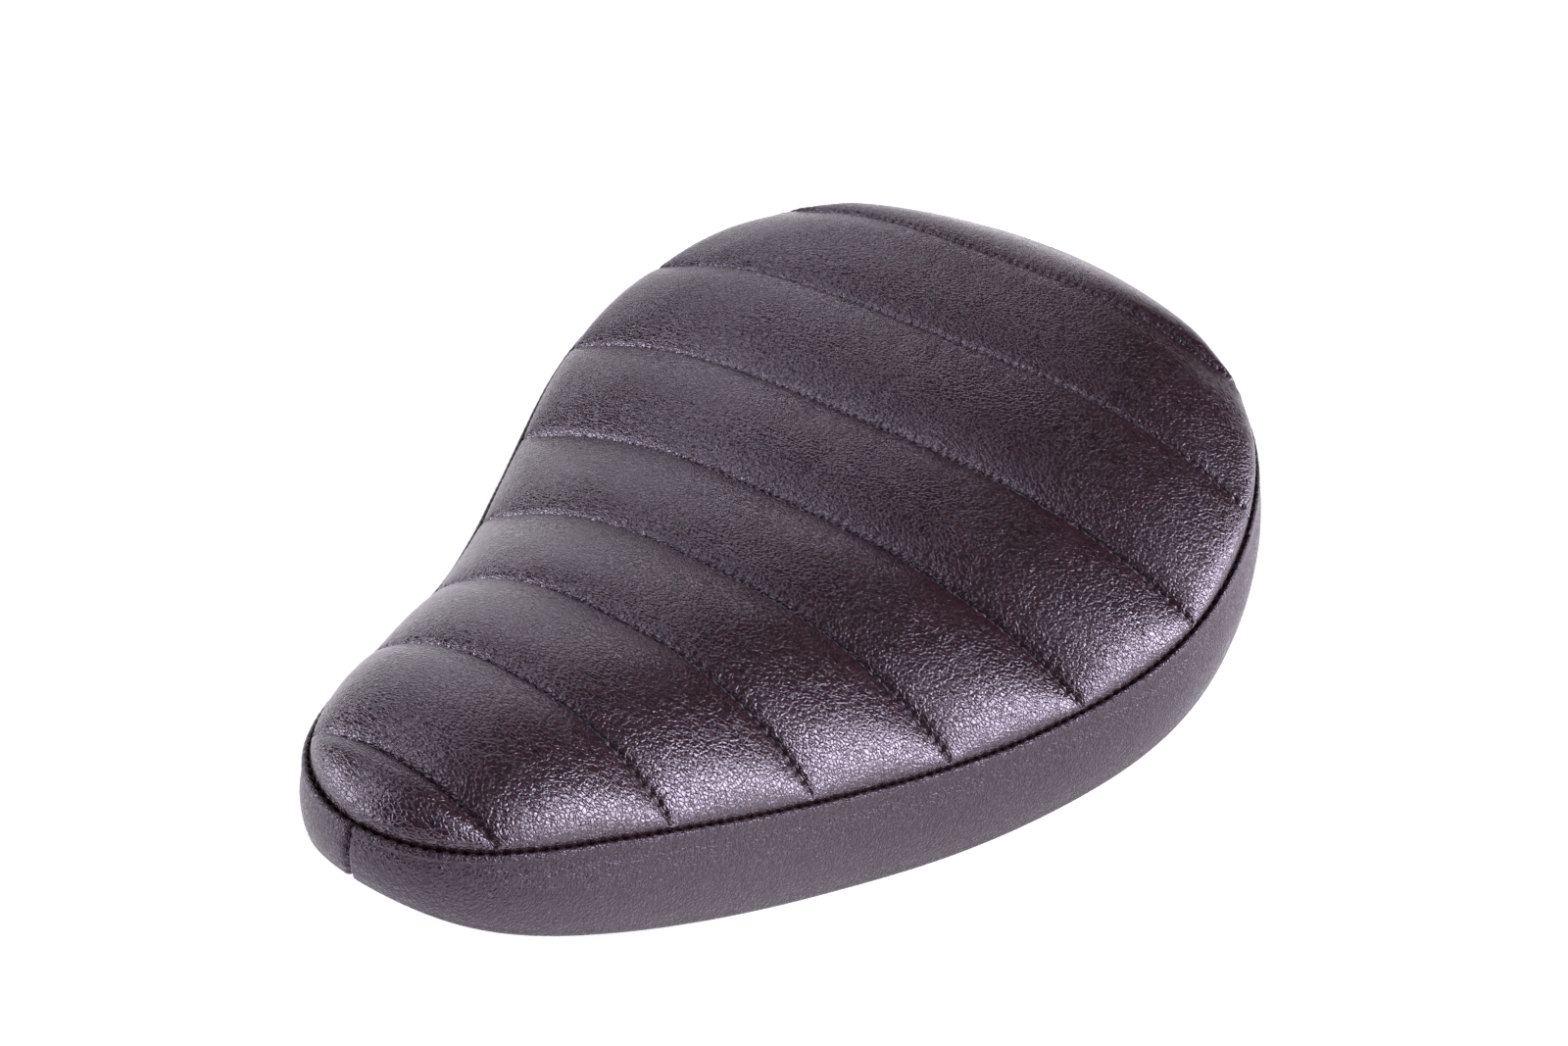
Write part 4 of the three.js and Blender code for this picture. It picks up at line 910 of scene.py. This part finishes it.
BELOW = COVER_T + GAP + PAD_BASE + GAP
for c in range(9):
    a = _half[0, 1] - 2 if c == 0 else float(seam_y(c - 1)) + 0.7
    b = _half[-1, 1] + 2 if c == 8 else float(seam_y(c)) - 0.7
    v, f = soft_slab(between_rows(a, b), pad_top, lambda x, y: sheet(x, y) - COVER_T - GAP - PAD_BASE, 1.2, 3.0)
    pad = build(f"channel_foam_{c + 1}", v, f, mats=[FOAM]); face_out(pad)
    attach(pad, "seat"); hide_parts(f"channel_pad_{c + 1}")

whole = between_rows(_half[0, 1] - 2, _half[-1, 1] + 2)
v, f = soft_slab(whole, lambda x, y: sheet(x, y) - BELOW, lambda x, y: sheet(x, y) - BELOW - SCRIM_T, 0.4, 4.0)
scrim_cloth = build("scrim_cloth", v, f, mats=[SCRIM]); face_out(scrim_cloth)
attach(scrim_cloth, "seat"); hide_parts("scrim")

# hardware that stands up through the pan has a hollow in the foam over it
pockets = []
for name, ob in NODES.items():
    if name.startswith(("rear_stud", "rear_plate", "nose_bolt", "nose_washer", "nose_nut", "hem_rivet")):
        q = to_seat(np.array([ob.matrix_world @ p.co for p in ob.data.vertices]))
        up = q[:, 2] - pan_top(q[:, 0], q[:, 1]); m = up > 0.1
        if m.any():
            c0 = (q[m, :2].min(0) + q[m, :2].max(0)) / 2
            pockets.append((c0[0], c0[1], float(np.hypot(*(q[m, :2] - c0).T).max()) + 0.5, float(up.max()) + 0.6))


def foam_low(x, y):
    lift = np.full_like(x, 0.5)
    for px, py, rad, high in pockets:
        s = np.clip(1 - (np.hypot(x - px, y - py) - rad) / 2.5, 0, 1)
        lift = np.maximum(lift, high * s * s * (3 - 2 * s))
    return pan_top(x, y) + lift


v, f = soft_slab(whole, lambda x, y: sheet(x, y) - BELOW - SCRIM_T - GAP, foam_low, 2.0, 2.2)
core = build("foam_block", v, f, mats=[FOAM]); face_out(core)
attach(core, "seat"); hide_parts("foam_core")

# ---------------------------------------------------------------- pan, rivets, studs
_ps = np.arange(0.8, HALF - 0.8, 1.9); _pp, _pn, _pt = outline(_ps)
_pr = _pp + _pn * (sF(_pt) - 2.4)[:, None]; _pr = _pr[_pr[:, 0] > 0.5]
v, f = soft_slab(np.concatenate([_pr, (_pr * [-1, 1])[::-1]]), pan_top, pan_under, 0.7, 3.6)
pan = build("pressed_pan", v, f, mats=[COAT]); face_out(pan)
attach(pan, "seat"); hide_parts("seat_pan")


def turned_frame(ob):
    """centre and axis of a turned part, with each point's place along the axis and distance from it (mm)"""
    q = np.unique(np.round(np.array([ob.matrix_world @ p.co for p in ob.data.vertices]) * 1000, 3), axis=0)
    c = q.mean(0); w, V = np.linalg.eigh((q - c).T @ (q - c))
    axis = V[:, 0] if w[1] - w[0] > w[2] - w[1] else V[:, 2]
    a = (q - c) @ axis
    return c, axis, a, np.linalg.norm(q - c - a[:, None] * axis, axis=1)


def lathe(profile, c, axis, seg=40):
    """profile of (radius, place along the axis), from the axis back to the axis"""
    u = np.cross(axis, [1, 0, 0] if abs(axis[0]) < 0.8 else [0, 1, 0]); u /= np.linalg.norm(u); w = np.cross(axis, u)
    th = np.arange(seg) * 2 * np.pi / seg; verts = [c + axis * profile[0][1]]; faces = []
    for r, z in profile[1:-1]:
        verts += [c + axis * z + r * (u * math.cos(k) + w * math.sin(k)) for k in th]
    verts.append(c + axis * profile[-1][1]); m = len(profile) - 2
    for k in range(seg):
        k2 = (k + 1) % seg
        faces.append((0, 1 + k2, 1 + k)); faces.append((1 + (m - 1) * seg + k, 1 + (m - 1) * seg + k2, len(verts) - 1))
        for j in range(m - 1):
            faces.append((1 + j * seg + k, 1 + j * seg + k2, 1 + (j + 1) * seg + k2, 1 + (j + 1) * seg + k))
    return np.array(verts) * 0.001, faces


for name, ob in list(NODES.items()):
    if name.startswith("hem_rivet"):
        c, axis, a, r = turned_frame(ob)
        if a[r > 3.1].mean() > a[r < 1.7].mean():
            axis, a = -axis, -a
        z0, z1 = a.min(), a.max()
        head = [(0, z0)] + [(3.3 * math.sin(math.radians(k)), z0 + 1.0 - math.cos(math.radians(k))) for k in (15, 30, 45, 58, 70, 80, 90)]
        profile = head + [(3.22, z0 + 1.1), (1.65, z0 + 1.12), (1.6, z0 + 1.3), (1.6, z1 - 1.35), (2.3, z1 - 1.3), (2.4, z1 - 1.1), (2.2, z1 - 0.6), (1.6, z1 - 0.18), (0.9, z1 - 0.03), (0, z1)]
        v, f = lathe(profile, c, axis, 28)
        piece = build(name + "_head", v, f, mats=[ZINC], angle=40)
    elif name.startswith("rear_stud"):
        c, axis, a, r = turned_frame(ob)
        if a[r > 7.5].mean() < a[r < 4.1].mean():
            axis, a = -axis, -a
        z0, z1 = a.min(), a.max(); seat = z1 - 4.3
        profile = [(0, z0), (2.9, z0), (3.1, z0 + 0.12), (3.55, z0 + 0.75)]
        z = z0 + 1.0
        while z < seat - 2.4:
            profile += [(3.97, z + 0.08), (3.97, z + 0.2), (3.45, z + 0.62), (3.45, z + 0.74)]; z += 1.25
        profile += [(3.97, z + 0.3), (3.97, seat), (8.85, seat), (9.0, seat + 0.15), (8.95, seat + 0.5), (8.1, seat + 2.3), (7.0, seat + 3.1), (4.6, seat + 3.95), (2.5, seat + 4.22), (0, z1)]
        v, f = lathe(profile, c, axis, 40)
        piece = build(name + "_threaded", v, f, mats=[ZINC], angle=40)
    else:
        continue
    face_out(piece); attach(piece, "seat"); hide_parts(name)

# ---------------------------------------------------------------- carried-over hardware
BY_SLOT = {"foam": FOAM, "scrim": SCRIM, "pan_black": COAT, "zinc": ZINC, "rubber_pad": RUBBER, "nylon": NYLON, "bronze": BRONZE, "leather_top": LEATHER_TOP, "leather_band": LEATHER_BAND}
SLOT_OF = {p["node"]: p["material_slot"] for p in frame["record"]["subparts"]}
for name, ob in NODES.items():
    if ob.hide_render:
        continue
    ob.data.materials.clear(); ob.data.materials.append(BY_SLOT[SLOT_OF[name]])
    ob.data.polygons.foreach_set("use_smooth", np.ones(len(ob.data.polygons), bool))
    ob.data.set_sharp_from_angle(angle=math.radians(32))
    bevel = ob.modifiers.new("worn_edges", "BEVEL"); bevel.width = 0.0003; bevel.segments = 2; bevel.limit_method = "ANGLE"; bevel.angle_limit = math.radians(38)
    bevel.use_clamp_overlap = True; bevel.harden_normals = True

# ---------------------------------------------------------------- floor and light
floor_mat, nt, bs = nodes_of("floor"); N = Net(nt)
N.link(N.ramp(N.noise(N.mm, 0.002, 3.0), [(0.3, (0.86, 0.86, 0.865)), (0.7, (0.90, 0.90, 0.90))]), bs.inputs["Base Color"])
bs.inputs["Roughness"].default_value = 0.7; bs.inputs["Specular IOR Level"].default_value = 0.2
bs.inputs["Emission Color"].default_value = (1, 0.985, 1, 1); bs.inputs["Emission Strength"].default_value = 0.5
geo = nt.nodes.new("ShaderNodeNewGeometry"); clear = nt.nodes.new("ShaderNodeBsdfTransparent"); mixed = nt.nodes.new("ShaderNodeMixShader")
out_node = [n for n in nt.nodes if n.type == "OUTPUT_MATERIAL"][0]
nt.links.new(geo.outputs["Backfacing"], mixed.inputs[0]); nt.links.new(bs.outputs[0], mixed.inputs[1]); nt.links.new(clear.outputs[0], mixed.inputs[2]); nt.links.new(mixed.outputs[0], out_node.inputs["Surface"])
floor = build("floor", [(-6, -6, 0), (6, -6, 0), (6, 6, 0), (-6, 6, 0)], [(0, 1, 2, 3)], smooth=False, mats=[floor_mat])


def softbox(name, direction, dist, size, power, color=(1, 1, 1), aim=(0, 0, 0.05), size_y=None):
    d = Vector(direction).normalized(); l = bpy.data.lights.new(name, "AREA")
    l.shape = "RECTANGLE"; l.size = size; l.size_y = size_y or size; l.energy = power; l.color = color
    o = bpy.data.objects.new(name, l); bpy.context.scene.collection.objects.link(o)
    o.location = Vector(aim) + d * dist; o.rotation_euler = d.to_track_quat("Z", "Y").to_euler()
    return o


# (azimuth from +X, elevation, strength, width, height)
LIGHTS = [(30, 14, 2.15, .9, .42), (15, 34, 1.75, .75, .6), (0, 14, .76, .9, .42), (210, 14, 1.1, .9, .42), (240, 14, .82, .9, .42),
          (225, 56, .27, .75, .7), (0, 56, .24, .75, .7), (150, 14, .21, .9, .42), (120, 14, .21, .9, .42), (135, 34, .16, .75, .6), (225, 34, .22, .75, .6), (180, 56, .155, .75, .7)]
for k_, (az_, el_, pw_, wx_, wy_) in enumerate(LIGHTS):
    a_, e_ = math.radians(az_), math.radians(el_)
    softbox(f"softbox_{k_ + 1}", (math.cos(a_) * math.cos(e_), math.sin(a_) * math.cos(e_), math.sin(e_)), 1.8, wx_, 11.5 * math.pi * wx_ * wy_ * pw_, (0.955, 0.905, 1.0), size_y=wy_).visible_camera = False
world = bpy.data.worlds.new("studio"); bpy.context.scene.world = world; world.use_nodes = True
wn = world.node_tree; wn.nodes.clear()
wo = wn.nodes.new("ShaderNodeOutputWorld"); wb = wn.nodes.new("ShaderNodeBackground"); wn.links.new(wb.outputs[0], wo.inputs[0])
wb.inputs[0].default_value = (0.97, 0.96, 1.0, 1); wb.inputs[1].default_value = 0.04
bpy.context.scene.view_settings.view_transform = "Standard"
bpy.context.scene.view_settings.look = "None"
